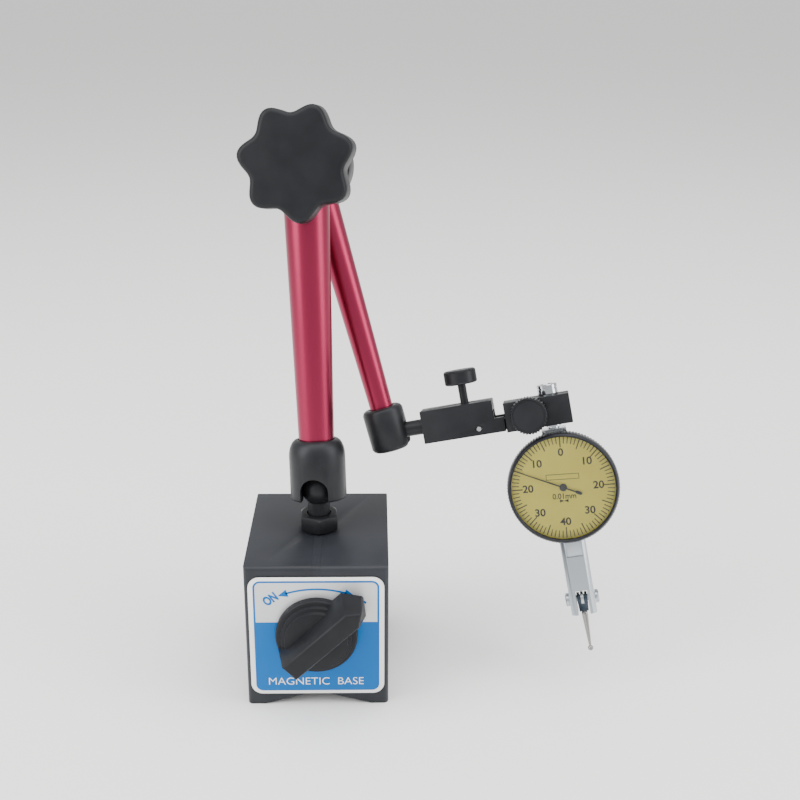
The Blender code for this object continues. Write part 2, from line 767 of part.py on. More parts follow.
def lower_head():
    half = LOWER_HEAD_WIDTH / 2
    head = tube("lower_head", ELBOW, BLACK_OXIDE, LOWER_HEAD_RADIUS, BOLT_BORE, half, -half, "Y", steps=32)
    cut(head, rod("lower_rod_hole", ELBOW, None, LOWER_ROD + GAP, 0, -LOWER_HEAD_RADIUS * 1.2))


def star_back():
    return -(LOWER_HEAD_WIDTH / 2 + HEAD_SPACE)


def lock_bolt():
    """The drawbar through both heads, with a cone under the end of each push rod."""
    rear = UPPER_OFFSET + UPPER_HEAD_WIDTH / 2
    seat = rear - COUNTERBORE_DEPTH + GAP
    cone = UPPER_HEAD_WIDTH * 0.3
    profile = [
        (0, seat + BOLT_HEAD_HEIGHT),
        (BOLT_HEAD_RADIUS, seat + BOLT_HEAD_HEIGHT),
        (BOLT_HEAD_RADIUS, seat),
        (BOLT_CONE, seat),
        (BOLT_CONE, UPPER_OFFSET + cone / 2),
        (BOLT_RADIUS, UPPER_OFFSET - cone / 2),
        (BOLT_CONE, UPPER_OFFSET - UPPER_HEAD_WIDTH / 2),
        (BOLT_CONE, cone / 2),
        (BOLT_RADIUS, -cone / 2),
        (BOLT_THREAD, -LOWER_HEAD_WIDTH / 2),
        (BOLT_THREAD, star_back() - INSERT_LENGTH),
        (0, star_back() - INSERT_LENGTH),
    ]
    turned("lock_bolt", ELBOW, STEEL, profile, "Y")


def star_outline():
    """Seven soft lobes on a circle, from a cosine."""
    middle, swing = (STAR_TIP + STAR_VALLEY) / 2, (STAR_TIP - STAR_VALLEY) / 2
    outline = []
    steps = STAR_LOBES * 8
    for i in range(steps):
        angle = 2 * math.pi * i / steps
        radius = middle + swing * math.cos(STAR_LOBES * angle)
        turn = angle + math.radians(STAR_LOBE_ANGLE)
        outline.append((radius * math.cos(turn), radius * math.sin(turn)))
    return outline


def lock_knob():
    back = star_back()
    at = (0, back - STAR_THICKNESS / 2, 0)
    knob = flat("lock_knob", ELBOW, BLACK_PLASTIC, [star_outline()], STAR_THICKNESS, at, UPRIGHT)
    bevel_edges(knob, STAR_EDGE, 2, lambda co: co.z > 0)
    bore = back - INSERT_LENGTH - GAP * 2
    cut(knob, rod("insert_bore", ELBOW, None, INSERT_RADIUS + GAP, back + PAST, bore, "Y"))
    insert_front = back - GAP
    insert_end = insert_front - INSERT_LENGTH
    bore = BOLT_THREAD + GAP
    tube("knob_insert", ELBOW, BRASS, INSERT_RADIUS, bore, insert_front, insert_end, "Y", steps=COARSE)


def upper_head():
    half = UPPER_HEAD_WIDTH / 2
    radius = UPPER_HEAD_RADIUS
    head = tube("upper_head", UPPER_ARM, BLACK_OXIDE, radius, BOLT_BORE, half, -half, "Y", steps=32)
    counterbore = rod(
        "bolt_head_bore", UPPER_ARM, None, BOLT_HEAD_RADIUS + GAP, half + PAST, half - COUNTERBORE_DEPTH, "Y"
    )
    rod_hole = rod("upper_rod_hole", UPPER_ARM, None, UPPER_ROD + GAP, UPPER_HEAD_RADIUS * 1.2, 0)
    cut(head, counterbore, rod_hole)
    top = half + GAP + REAR_CAP_THICKNESS
    profile = [
        (0, top),
        (REAR_CAP_RADIUS - REAR_CAP_THICKNESS / 2, top),
        (REAR_CAP_RADIUS, top - REAR_CAP_THICKNESS / 2),
        (REAR_CAP_RADIUS, half + GAP),
        (0, half + GAP),
    ]
    turned("rear_cap", UPPER_ARM, BLACK_PLASTIC, profile, "Y")


# Upper arm and upper ball joint


def upper_tube():
    start = chord(UPPER_HEAD_RADIUS, UPPER_TUBE_TOP) - PAST / 2
    socket = UPPER_LENGTH - UPPER_SOCKET_LENGTH
    end = socket + UPPER_SOCKET_LENGTH / 3
    profile = [
        (UPPER_TUBE_BOTTOM, end),
        (UPPER_TUBE_BOTTOM, socket),
        (UPPER_TUBE_TOP, start),
        (UPPER_TUBE_BORE, start),
        (UPPER_TUBE_BORE, end),
    ]
    shell = turned("upper_tube", UPPER_ARM, RED_ANODISED, profile, closed=True)
    reach = UPPER_TUBE_TOP + PAST
    cope = rod("upper_tube_cope", UPPER_ARM, None, UPPER_HEAD_RADIUS + GAP, reach, -reach, "Y", steps=FINE)
    cut(shell, cope)
    clear = UPPER_SHANK + GAP * 2
    seat_top = UPPER_LENGTH - end - GAP
    seat = seat_profile(UPPER_TUBE_BOTTOM, UPPER_BALL, clear, seat_top)
    turned("upper_ball_seat", UPPER_JOINT, BRASS, seat, "-Z")
    rod("upper_push_rod", UPPER_ARM, STEEL, UPPER_ROD, UPPER_LENGTH - seat_top - GAP, ROD_END)


def upper_socket():
    mouth, ball = UPPER_SOCKET_MOUTH, UPPER_BALL + GAP
    lip = mouth * 0.45
    bore = UPPER_TUBE_BOTTOM + GAP
    tail = -UPPER_SOCKET_LENGTH
    radius = UPPER_SOCKET_RADIUS
    hollow = arc((0, 0), ball, 0, math.degrees(math.asin(lip / ball)), 4)
    profile = [
        (radius - UPPER_SOCKET_NOSE, mouth),
        (radius - UPPER_SOCKET_EDGE, mouth - UPPER_SOCKET_EDGE / 2),
        (radius, mouth - UPPER_SOCKET_EDGE * 2),
        (radius, tail + UPPER_SOCKET_EDGE),
        (radius - UPPER_SOCKET_EDGE, tail),
        (bore, tail),
        (bore, -ball),
        (ball, -ball * 0.9),
        *hollow,
    ]
    socket = turned("upper_socket", UPPER_JOINT, BLACK_OXIDE, profile, closed=True)
    outline = slot_outline(UPPER_SLOT, -1, mouth * 2)
    turn = turn_about("Z", 90) @ UPRIGHT
    at = (-radius * 0.6, 0, 0)
    cut(socket, flat("upper_socket_slot", UPPER_JOINT, None, [outline], radius, at, turn))


def upper_ball_stud():
    neck = -chord(UPPER_BALL, UPPER_SHANK)
    end = HOUSING_START + SHANK_DEPTH
    profile = [(radius, -height) for radius, height in reversed(ball_arc(UPPER_BALL, neck, 8))]
    profile = [(0, end), (UPPER_SHANK, end), *profile]
    turned("upper_ball_stud", HOLDER, STEEL, profile, "X")


# Indicator holder


def clamp_housing():
    half, tall = HOUSING_WIDTH / 2, HOUSING_HALF_HEIGHT
    corners = ((HOUSING_START, -half, -tall), (HOUSING_END, half, tall))
    housing = box("clamp_housing", HOLDER, BLACK_OXIDE, *corners)
    shank_end = HOUSING_START + SHANK_DEPTH + GAP
    cut(
        housing,
        box(
            "notch",
            HOLDER,
            None,
            (NOTCH_START, -half - PAST, NOTCH_FLOOR),
            (HOUSING_END + PAST, half + PAST, tall + PAST),
        ),
        box(
            "channel",
            HOLDER,
            None,
            (CHANNEL_START, -CHANNEL_WIDTH / 2, -tall - PAST),
            (HOUSING_END + PAST, CHANNEL_WIDTH / 2, CHANNEL_ROOF),
        ),
        rod("shank_hole", HOLDER, None, UPPER_SHANK + GAP, shank_end, HOUSING_START - PAST, "X"),
        rod("thumb_hole", THUMB, None, THUMB_SHANK + GAP, tall + PAST, 0),
        rod("housing_pin_hole", JAW_PIVOT, None, PIN_RADIUS + GAP, half + PAST, -half - PAST, "Y"),
    )
    rod("pivot_pin", JAW_PIVOT, STEEL, PIN_RADIUS, half, -half, "Y")


def tongue_top():
    return PIN_UP + TONGUE_THICKNESS / 2


def lever_spring():
    """A short coil between the channel's roof and the lever's tongue."""
    low = tongue_top() + SPRING_WIRE + GAP / 2
    high = CHANNEL_ROOF - SPRING_WIRE - GAP / 2
    steps = SPRING_TURNS * 10
    points = []
    for i in range(steps + 1):
        angle = 2 * math.pi * SPRING_TURNS * i / steps
        height = low + (high - low) * i / steps
        points.append((SPRING_RADIUS * math.cos(angle), SPRING_RADIUS * math.sin(angle), height))
    wire("lever_spring", HOLDER, STEEL, points, SPRING_WIRE, (SPRING_ALONG, 0, 0))


def fine_thumbscrew():
    top = THUMB_HEAD_BOTTOM + THUMB_HEAD_HEIGHT
    profile = [
        (0, top),
        (THUMB_HEAD_RADIUS - TURNED_CHAMFER, top),
        (THUMB_HEAD_RADIUS, top - TURNED_CHAMFER),
        (THUMB_HEAD_RADIUS, THUMB_HEAD_BOTTOM + TURNED_CHAMFER),
        (THUMB_HEAD_RADIUS - TURNED_CHAMFER, THUMB_HEAD_BOTTOM),
        (THUMB_SHANK, THUMB_HEAD_BOTTOM),
        (THUMB_SHANK, tongue_top() + GAP),
        (0, tongue_top() + GAP),
    ]
    turned("fine_thumbscrew", THUMB, BLACK_OXIDE, profile)


def holder_jaw():
    """The lever that carries the indicator: a block with a tongue that rocks on the pivot pin."""
    half = JAW_WIDTH / 2
    start = HOUSING_END + GAP
    jaw = box("holder_jaw", HOLDER, BLACK_OXIDE, (start, -half, JAW_BOTTOM), (JAW_END, half, JAW_TOP))
    side = CHANNEL_WIDTH / 2 - GAP
    tongue = box(
        "jaw_tongue",
        HOLDER,
        None,
        (TONGUE_START, -side, PIN_UP - TONGUE_THICKNESS / 2),
        (start + PAST, side, tongue_top()),
    )
    join(jaw, tongue)
    at_stem = (STEM_ALONG, 0, 0)
    stem_reach = (JAW_TOP + PAST, JAW_BOTTOM - PAST)
    cut(
        jaw,
        rod("jaw_pin_hole", JAW_PIVOT, None, PIN_RADIUS + GAP, half, -half, "Y"),
        rod("stem_hole", HOLDER, None, STEM_RADIUS + GAP, *stem_reach, "Z", at_stem, ROUND),
        box(
            "clamp_slit",
            HOLDER,
            None,
            (SLIT_START, -SLIT_WIDTH / 2, JAW_BOTTOM - PAST),
            (JAW_END + PAST, SLIT_WIDTH / 2, JAW_TOP + PAST),
        ),
        rod(
            "clamp_screw_hole",
            CLAMP_KNOB,
            None,
            CLAMP_SCREW_RADIUS + GAP,
            CLAMP_SCREW_DEPTH - half + GAP,
            -half - PAST,
            "Y",
        ),
    )


def clamp_knob():
    back = -(JAW_WIDTH / 2 + GAP)
    front = back - CLAMP_KNOB_LENGTH
    profile = [
        (0, back + CLAMP_SCREW_DEPTH),
        (CLAMP_SCREW_RADIUS, back + CLAMP_SCREW_DEPTH),
        (CLAMP_SCREW_RADIUS, back),
        (CLAMP_KNOB_RADIUS - TURNED_CHAMFER, back),
        (CLAMP_KNOB_RADIUS, back - TURNED_CHAMFER),
        (CLAMP_KNOB_RADIUS, front + TURNED_CHAMFER),
        (CLAMP_KNOB_RADIUS - TURNED_CHAMFER, front),
        (CLAMP_KNOB_RADIUS * 0.62, front),
        (CLAMP_KNOB_RADIUS * 0.55, front + TURNED_CHAMFER),
        (0, front + TURNED_CHAMFER),
    ]
    turned("clamp_knob", CLAMP_KNOB, BLACK_OXIDE, profile, "Y")


# Indicator


def indicator_stem():
    head_bottom = DIAL_DROP + JAW_TOP + GAP
    head_top = head_bottom + STEM_HEAD_HEIGHT
    profile = [
        (0, head_top),
        (STEM_HEAD_RADIUS - TURNED_CHAMFER, head_top),
        (STEM_HEAD_RADIUS, head_top - TURNED_CHAMFER),
        (STEM_HEAD_RADIUS, head_bottom),
        (STEM_RADIUS, head_bottom),
        (STEM_RADIUS, SHOE_TOP + GAP),
        (STEM_SPIGOT, SHOE_TOP + GAP),
        (STEM_SPIGOT, RAIL_TOP + GAP),
        (0, RAIL_TOP + GAP),
    ]
    turned("indicator_stem", INDICATOR, CHROME, profile)


def rail_outline(grow):
    """The dovetail rail's section, or the shoe's groove over it when it grows by the clearance."""
    narrow, wide = RAIL_NARROW / 2 + grow, RAIL_WIDE / 2 + grow
    low = RAIL_TOP - RAIL_HEIGHT
    foot = CASE_RADIUS - PAST * 2
    top = RAIL_TOP + grow
    return [(narrow, foot), (narrow, low), (wide, top), (-wide, top), (-narrow, low), (-narrow, foot)]


def dovetail_shoe():
    front, back = BEZEL_BACK + GAP, RAIL_BACK
    half = SHOE_WIDTH / 2
    shoe = box("dovetail_shoe", INDICATOR, SATIN_CASE, (-half, front, SHOE_BOTTOM), (half, back, SHOE_TOP))
    length = back - front + 2 * PAST
    at = (0, (front + back) / 2, 0)
    groove = flat("rail_groove", INDICATOR, None, [rail_outline(GAP)], length, at, UPRIGHT)
    hole = rod("spigot_hole", INDICATOR, None, STEM_SPIGOT + GAP, SHOE_TOP + PAST, SHOE_BOTTOM)
    cut(shoe, groove, hole)


def neck_outline():
    """The neck's section: a front and a back face, and sides that slope out to the shoulders."""
    face, wide, deep = NECK_FACE / 2, NECK_WIDTH / 2, NECK_DEPTH / 2
    outline = [(face, -deep), (wide, -NECK_SHOULDER), (wide, NECK_SHOULDER), (face, deep)]
    return outline + [(-x, y) for x, y in reversed(outline)]


def indicator_case():
    """A short drum behind the dial with a neck down to the stylus fork, and a dovetail rail on top."""
    profile = [
        (0, CASE_BACK),
        (CASE_RADIUS - CASE_CHAMFER, CASE_BACK),
        (CASE_RADIUS, CASE_BACK - CASE_CHAMFER),
        (CASE_RADIUS, CASE_FRONT),
        (0, CASE_FRONT),
    ]
    case = turned("indicator_case", INDICATOR, SATIN_CASE, profile, "Y", steps=FINE)
    neck_top = -CASE_BORE + PAST
    neck_length = NECK_BOTTOM + neck_top
    neck = flat(
        "neck_stock", INDICATOR, None, [neck_outline()], neck_length, (0, 0, neck_top - neck_length / 2)
    )
    bezel_space = (BEZEL_BACK + GAP, CASE_FRONT - PAST)
    cut(neck, rod("bezel_space", INDICATOR, None, BEZEL_RADIUS + GAP, *bezel_space, "Y", steps=FINE))
    rail_length = RAIL_BACK - BEZEL_BACK - GAP
    at = (0, (RAIL_BACK + BEZEL_BACK + GAP) / 2, 0)
    rail = flat("rail_stock", INDICATOR, None, [rail_outline(0)], rail_length, at, UPRIGHT)
    join(case, neck, rail)
    deep = NECK_DEPTH
    cut(
        case,
        rod("case_bore", INDICATOR, None, CASE_BORE, CASE_BACK + PAST, CASE_FRONT - PAST, "Y", steps=32),
        box(
            "lever_tunnel",
            INDICATOR,
            None,
            (-TUNNEL_WIDTH / 2, -TUNNEL_DEPTH / 2, -FORK_TOP - PAST),
            (TUNNEL_WIDTH / 2, TUNNEL_DEPTH / 2, -CASE_BORE + PAST * 2),
        ),
        box(
            "fork_slot",
            INDICATOR,
            None,
            (-FORK_SLOT / 2, -deep, -NECK_BOTTOM - PAST),
            (FORK_SLOT / 2, deep, -FORK_TOP),
        ),
        box(
            "neck_recess",
            INDICATOR,
            None,
            (-NECK_RECESS_WIDTH / 2, -deep, -NECK_RECESS_BOTTOM),
            (NECK_RECESS_WIDTH / 2, -NECK_DEPTH / 2 + NECK_RECESS_DEPTH, -CASE_RADIUS - PAST),
        ),
        rod("pivot_hole", LEVER, None, PIVOT_SHANK + GAP, NECK_WIDTH, -NECK_WIDTH, "X"),
    )


def back_cover():
    face = CASE_BACK + GAP
    profile = [
        (0, face + BACK_COVER_THICKNESS),
        (BACK_COVER_RADIUS - BACK_COVER_THICKNESS / 2, face + BACK_COVER_THICKNESS),
        (BACK_COVER_RADIUS, face + BACK_COVER_THICKNESS / 2),
        (BACK_COVER_RADIUS, face),
        (CASE_BORE - GAP, face),
        (CASE_BORE - GAP, CASE_BACK - BACK_COVER_SPIGOT),
        (0, CASE_BACK - BACK_COVER_SPIGOT),
    ]
    turned("back_cover", INDICATOR, SATIN_CASE, profile, "Y", steps=32)


def pivot_screws():
    for word, side in (("left", -1), ("right", 1)):
        face = NECK_WIDTH / 2 + GAP / 2
        profile = [
            (0, face + PIVOT_HEAD_LENGTH),
            (PIVOT_HEAD_RADIUS * 0.85, face + PIVOT_HEAD_LENGTH),
            (PIVOT_HEAD_RADIUS, face + PIVOT_HEAD_LENGTH * 0.7),
            (PIVOT_HEAD_RADIUS, face),
            (PIVOT_SHANK, face),
            (PIVOT_SHANK, GAP / 2),
            (0, GAP / 2),
        ]
        if side < 0:
            profile = [(radius, -height) for radius, height in reversed(profile)]
        turned(f"pivot_screw_{word}", LEVER, SATIN_CASE, profile, "X", steps=COARSE)


def bezel_ring():
    outer, front, back = BEZEL_RADIUS, BEZEL_FRONT, BEZEL_BACK
    inside = outer - BEZEL_WALL
    profile = [
        (outer, back),
        (outer, front + BEZEL_CHAMFER * 1.5),
        (outer - BEZEL_CHAMFER, front),
        (BEZEL_OPENING + BEZEL_CHAMFER, front),
        (BEZEL_OPENING, front + BEZEL_CHAMFER),
        (BEZEL_OPENING, front + BEZEL_LIP),
        (inside, front + BEZEL_LIP),
        (inside, CASE_FRONT - GAP),
        (CASE_RADIUS + GAP, CASE_FRONT - GAP),
        (CASE_RADIUS + GAP, back),
    ]
    turned("bezel_ring", DIAL, SLATE_BEZEL, profile, "Y", steps=48, closed=True)


def dial_and_crystal():
    back = DIAL_FRONT + DIAL_THICKNESS
    hole = POINTER_HUB - GAP
    tube("dial_face", DIAL, YELLOW_DIAL, DIAL_RADIUS, hole, back, DIAL_FRONT, "Y", steps=48)
    back = CRYSTAL_FRONT + CRYSTAL_THICKNESS
    profile = [
        (0, back),
        (DIAL_RADIUS, back),
        (DIAL_RADIUS, CRYSTAL_FRONT),
        (DIAL_RADIUS * 0.6, CRYSTAL_FRONT - CRYSTAL_DOME * 0.7),
        (0, CRYSTAL_FRONT - CRYSTAL_DOME),
    ]
    turned("crystal", DIAL, CLEAR_ACRYLIC, profile, "Y", steps=48)


# Movement of the indicator


def movement_plate():
    back = PLATE_FRONT + PLATE_THICKNESS
    plate = rod("movement_plate", INDICATOR, BRASS, CASE_BORE - GAP, back, PLATE_FRONT, "Y", steps=32)
    for side in (-1, 1):
        lug = box(
            f"bearing_lug_{side}",
            INDICATOR,
            None,
            (side * LUG_X - LUG_WIDTH / 2, back - PLATE_THICKNESS / 2, -LUG_HEIGHT / 2),
            (side * LUG_X + LUG_WIDTH / 2, LUG_BACK, LUG_HEIGHT / 2),
        )
        join(plate, lug)
    reach = LUG_X + LUG_WIDTH
    cut(
        plate,
        rod("arbor_hole", INDICATOR, None, ARBOR_RADIUS + GAP, back + PAST, PLATE_FRONT - PAST, "Y"),
        rod("bearing_holes", CROWN, None, CROWN_ARBOR + GAP, reach, -reach, "X"),
    )


def pointer():
    front = POINTER_FRONT
    middle = (0, front + POINTER_THICKNESS / 2, 0)
    half_tip, half_root, half_tail = POINTER_TIP / 2, POINTER_ROOT / 2, POINTER_TAIL_WIDTH / 2
    outline = [
        (half_tip, POINTER_LENGTH),
        (-half_tip, POINTER_LENGTH),
        (-half_root, chord(POINTER_HUB, half_root)),
        *arc((0, 0), POINTER_HUB, 120, 240, 6),
        (-half_root, -chord(POINTER_HUB, half_root)),
        (-half_tail, -POINTER_TAIL),
        (half_tail, -POINTER_TAIL),
        (half_root, -chord(POINTER_HUB, half_root)),
        *arc((0, 0), POINTER_HUB, 300, 420, 6),
        (half_root, chord(POINTER_HUB, half_root)),
    ]
    hole = circle(ARBOR_RADIUS + GAP, COARSE)
    turn = UPRIGHT @ turn_about("Z", POINTER_READING)
    flat("pointer", POINTER, POINTER_BLACK, [outline, hole], POINTER_THICKNESS, middle, turn)
    arbor_end = -(CROWN_RADIUS - CROWN_MESH)
    rod("pointer_arbor", POINTER, STEEL, ARBOR_RADIUS, arbor_end, front - GAP / 2, "Y")
    spiral = []
    steps = HAIRSPRING_TURNS * 16
    inner = ARBOR_RADIUS + HAIRSPRING_WIRE + GAP
    for i in range(steps + 1):
        angle = 2 * math.pi * HAIRSPRING_TURNS * i / steps
        radius = inner + (HAIRSPRING_RADIUS - inner) * i / steps
        spiral.append((radius * math.cos(angle), HAIRSPRING_PLACE, radius * math.sin(angle)))
    wire("hairspring", POINTER, BRASS, spiral, HAIRSPRING_WIRE)


def crown_gear():
    half, end = CROWN_PINION_WIDTH / 2, LUG_X + LUG_WIDTH / 2 + GAP
    profile = [
        (0, end),
        (CROWN_ARBOR, end),
        (CROWN_ARBOR, CROWN_FACE + CROWN_THICKNESS),
        (CROWN_RADIUS, CROWN_FACE + CROWN_THICKNESS),
        (CROWN_RADIUS, CROWN_FACE),
        (CROWN_ARBOR, CROWN_FACE),
        (CROWN_ARBOR, half),
        (CROWN_PINION, half),
        (CROWN_PINION, -half),
        (CROWN_ARBOR, -half),
        (CROWN_ARBOR, -end),
        (0, -end),
    ]
    turned("crown_gear", CROWN, BRASS, profile, "X")


def sector_lever():
    """The lever from the stylus pivot up the neck, with its sector under the crown gear's pinion."""
    radius = PIVOT_DROP - CROWN_PINION - GAP
    half = SECTOR_BLADE / 2
    head = radius - SECTOR_HEAD_DEPTH
    start = math.degrees(math.asin(half / SECTOR_HUB))
    outline = [
        *arc((0, 0), radius, 90 - SECTOR_HALF_ANGLE, 90 + SECTOR_HALF_ANGLE, 8),
        (-half, head),
        *arc((0, 0), SECTOR_HUB, 90 + start, 450 - start, ROUND),
        (half, head),
    ]
    hole = circle(PIVOT_SHANK + GAP, COARSE)
    turn = turn_about("Z", 90) @ UPRIGHT
    flat("sector_lever", LEVER, STEEL, [outline, hole], SECTOR_THICKNESS, turn=turn)


def stylus_holder():
    end = -HOLDER_LENGTH
    outline = [
        *arc((0, 0), HOLDER_RADIUS, 0, 180, 12),
        (-HOLDER_END_RADIUS, end),
        (HOLDER_END_RADIUS, end),
    ]
    turn = turn_about("Z", 90) @ UPRIGHT
    holder = flat("stylus_holder", STYLUS, BLACK_OXIDE, [outline], HOLDER_WIDTH, turn=turn)
    half = HOLDER_SLOT / 2
    cut(
        holder,
        box(
            "yoke_slot",
            STYLUS,
            None,
            (-half, -HOLDER_RADIUS - PAST, -HOLDER_WEB),
            (half, HOLDER_RADIUS + PAST, HOLDER_RADIUS + PAST),
        ),
        rod("yoke_hole", STYLUS, None, PIVOT_SHANK + GAP, HOLDER_WIDTH, -HOLDER_WIDTH, "X"),
        rod("stylus_hole", STYLUS, None, STYLUS_SPIGOT + GAP, -HOLDER_WEB, end - PAST),
    )


def stylus_tip():
    top = -HOLDER_LENGTH - GAP
    ball = STYLUS_BALL
    meet = chord(ball, STYLUS_END_RADIUS)
    start = math.degrees(math.atan2(meet, STYLUS_END_RADIUS))
    tip = arc((0, -STYLUS_LENGTH), ball, start, -90, 8)[:-1]
    profile = [
        (0, top + STYLUS_SPIGOT_LENGTH),
        (STYLUS_SPIGOT, top + STYLUS_SPIGOT_LENGTH),
        (STYLUS_SPIGOT, top),
        (STYLUS_TOP_RADIUS, top),
        *tip,
        (0, -STYLUS_LENGTH - ball),
    ]
    turned("stylus_tip", STYLUS, CHROME, profile, steps=COARSE)


def settle_origin():
    """Moves the whole object so that the origin is under the middle of its box, at its foot."""
    bpy.context.view_layer.update()
    graph = bpy.context.evaluated_depsgraph_get()
    points = []
    for obj in PARTS.objects:
        if obj.type == "EMPTY":
            continue
        evaluated = obj.evaluated_get(graph)
        mesh = evaluated.to_mesh()
        points += [evaluated.matrix_world @ vertex.co for vertex in mesh.vertices]
        evaluated.to_mesh_clear()
    low = [min(point[axis] for point in points) for axis in range(3)]
    high = [max(point[axis] for point in points) for axis in range(3)]
    ROOT.location = (-(low[0] + high[0]) / 2, -(low[1] + high[1]) / 2, -low[2])
    bpy.context.view_layer.update()


base_block()
rear_cover()
label_plate()
magnet_rotor()
switch_knob()
lower_ball_stud()
lower_socket()
lower_tube()
lower_head()
lock_bolt()
lock_knob()
upper_head()
upper_tube()
upper_socket()
upper_ball_stud()
clamp_housing()
lever_spring()
fine_thumbscrew()
holder_jaw()
clamp_knob()
indicator_stem()
dovetail_shoe()
indicator_case()
back_cover()
pivot_screws()
bezel_ring()
dial_and_crystal()
movement_plate()
pointer()
crown_gear()
sector_lever()
stylus_holder()
stylus_tip()
settle_origin()
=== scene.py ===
import json
import math

import bmesh
import bpy
from mathutils import Matrix, Vector


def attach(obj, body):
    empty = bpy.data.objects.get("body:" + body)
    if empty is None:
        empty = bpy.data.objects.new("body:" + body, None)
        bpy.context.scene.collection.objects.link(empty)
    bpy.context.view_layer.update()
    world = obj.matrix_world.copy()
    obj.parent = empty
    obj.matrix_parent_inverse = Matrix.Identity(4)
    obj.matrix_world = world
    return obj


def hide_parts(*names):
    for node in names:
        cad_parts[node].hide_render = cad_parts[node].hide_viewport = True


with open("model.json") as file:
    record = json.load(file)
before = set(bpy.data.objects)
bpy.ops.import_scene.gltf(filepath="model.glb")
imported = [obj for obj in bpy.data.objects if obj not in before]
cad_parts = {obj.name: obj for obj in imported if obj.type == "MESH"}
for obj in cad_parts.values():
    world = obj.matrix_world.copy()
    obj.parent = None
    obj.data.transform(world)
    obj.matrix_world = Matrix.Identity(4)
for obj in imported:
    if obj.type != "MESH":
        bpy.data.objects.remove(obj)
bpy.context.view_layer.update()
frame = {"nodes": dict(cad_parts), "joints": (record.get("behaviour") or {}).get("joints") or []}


# Magnetic base
# Two ground steel poles with a spacer between them, baked with semi-matt black enamel.
# The underside is planed to a shallow vee between two foot rails.

def joint(name):
    return next(joint for joint in frame["joints"] if joint["name"] == name)


def block(name, low, high):
    """A cube pulled out to a low and a high corner."""
    bpy.ops.object.select_all(action="DESELECT")
    middle = [(a + b) / 2 for a, b in zip(low, high)]
    bpy.ops.mesh.primitive_cube_add(size=1, location=middle)
    piece = bpy.context.object
    piece.name = name
    piece.scale = [b - a for a, b in zip(low, high)]
    bpy.ops.object.transform_apply(location=True, rotation=True, scale=True)
    return piece


def take(piece):
    """Makes a piece the only one selected, and the active one."""
    if bpy.context.mode != "OBJECT":
        bpy.ops.object.mode_set(mode="OBJECT")
    bpy.ops.object.select_all(action="DESELECT")
    piece.select_set(True)
    bpy.context.view_layer.objects.active = piece


def choose(piece, kind, wanted):
    """Goes into edit mode and selects the corners, edges or faces whose middle the test accepts."""
    take(piece)
    bpy.ops.object.mode_set(mode="EDIT")
    bpy.ops.mesh.select_mode(type=kind)
    bpy.ops.mesh.select_all(action="DESELECT")
    mesh = bmesh.from_edit_mesh(piece.data)
    for part in {"VERT": mesh.verts, "EDGE": mesh.edges, "FACE": mesh.faces}[kind]:
        corners = [part] if kind == "VERT" else part.verts
        middle = sum((corner.co for corner in corners), Vector()) / len(corners)
        if wanted(middle):
            part.select_set(True)
    mesh.select_flush_mode()
    bmesh.update_edit_mesh(piece.data)


def leave_edit():
    bpy.ops.object.mode_set(mode="OBJECT")


def near(a, b):
    return abs(a - b) < 1e-5


def cut_away(piece, *cutters):
    """Takes the space of each cutter out of a piece. The cutters stay for the next piece."""
    for cutter in cutters:
        take(piece)
        cut = piece.modifiers.new("cut", "BOOLEAN")
        cut.operation = "DIFFERENCE"
        cut.object = cutter
        bpy.ops.object.modifier_apply(modifier=cut.name)


def sweep_up(*cutters):
    for cutter in cutters:
        bpy.data.objects.remove(cutter)


def pin(name, radius, low, high, turn=Matrix(), sides=64):
    """A plain round cutter along Z from low to high, then turned."""
    bpy.ops.object.select_all(action="DESELECT")
    middle = (0, 0, (low + high) / 2)
    bpy.ops.mesh.primitive_cylinder_add(vertices=sides, radius=radius, depth=high - low, location=middle)
    piece = bpy.context.object
    piece.name = name
    bpy.ops.object.transform_apply(location=True, rotation=True, scale=True)
    piece.matrix_world = turn
    bpy.ops.object.transform_apply(location=True, rotation=True, scale=True)
    return piece


def settle(piece, place, material, body, nodes=(), soft_edge=0.0, smooth=35):
    """Breaks a piece's sharp edges, shades it, moves it to its place and says what it is part of."""
    take(piece)
    if soft_edge:
        bevel = piece.modifiers.new("broken edge", "BEVEL")
        bevel.width = soft_edge
        bevel.segments = 2
        bevel.limit_method = "ANGLE"
        bevel.angle_limit = math.radians(30)
        bpy.ops.object.modifier_apply(modifier=bevel.name)
    bpy.ops.object.shade_smooth_by_angle(angle=math.radians(smooth))
    piece.matrix_world = place
    bpy.ops.object.transform_apply(location=True, rotation=True, scale=True)
    piece.data.materials.clear()
    piece.data.materials.append(material)
    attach(piece, body)
    if nodes:
        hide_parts(*nodes)
    return piece


def linear(colour):
    """A colour from its sRGB hex code."""
    values = [int(colour[i : i + 2], 16) / 255 for i in (0, 2, 4)]
    return [v / 12.92 if v <= 0.04045 else ((v + 0.055) / 1.055) ** 2.4 for v in values] + [1.0]


def new_material(name, colour, roughness, metallic=0.0):
    material = bpy.data.materials.new(name)
    material.use_nodes = True
    shader = material.node_tree.nodes["Principled BSDF"]
    shader.inputs["Base Color"].default_value = linear(colour)
    shader.inputs["Roughness"].default_value = roughness
    shader.inputs["Metallic"].default_value = metallic
    return material


def add_node(material, kind, settings=None, links=None, into=None):
    """Adds a node, sets its sockets and options, links its inputs, and may feed a socket of the shader."""
    tree = material.node_tree
    node = tree.nodes.new(kind)
    for name, value in (settings or {}).items():
        if name in node.inputs:
            node.inputs[name].default_value = value
        else:
            setattr(node, name, value)
    for name, source in (links or {}).items():
        tree.links.new(source, node.inputs[name])
    if into:
        tree.links.new(node.outputs[0], tree.nodes["Principled BSDF"].inputs[into])
    return node


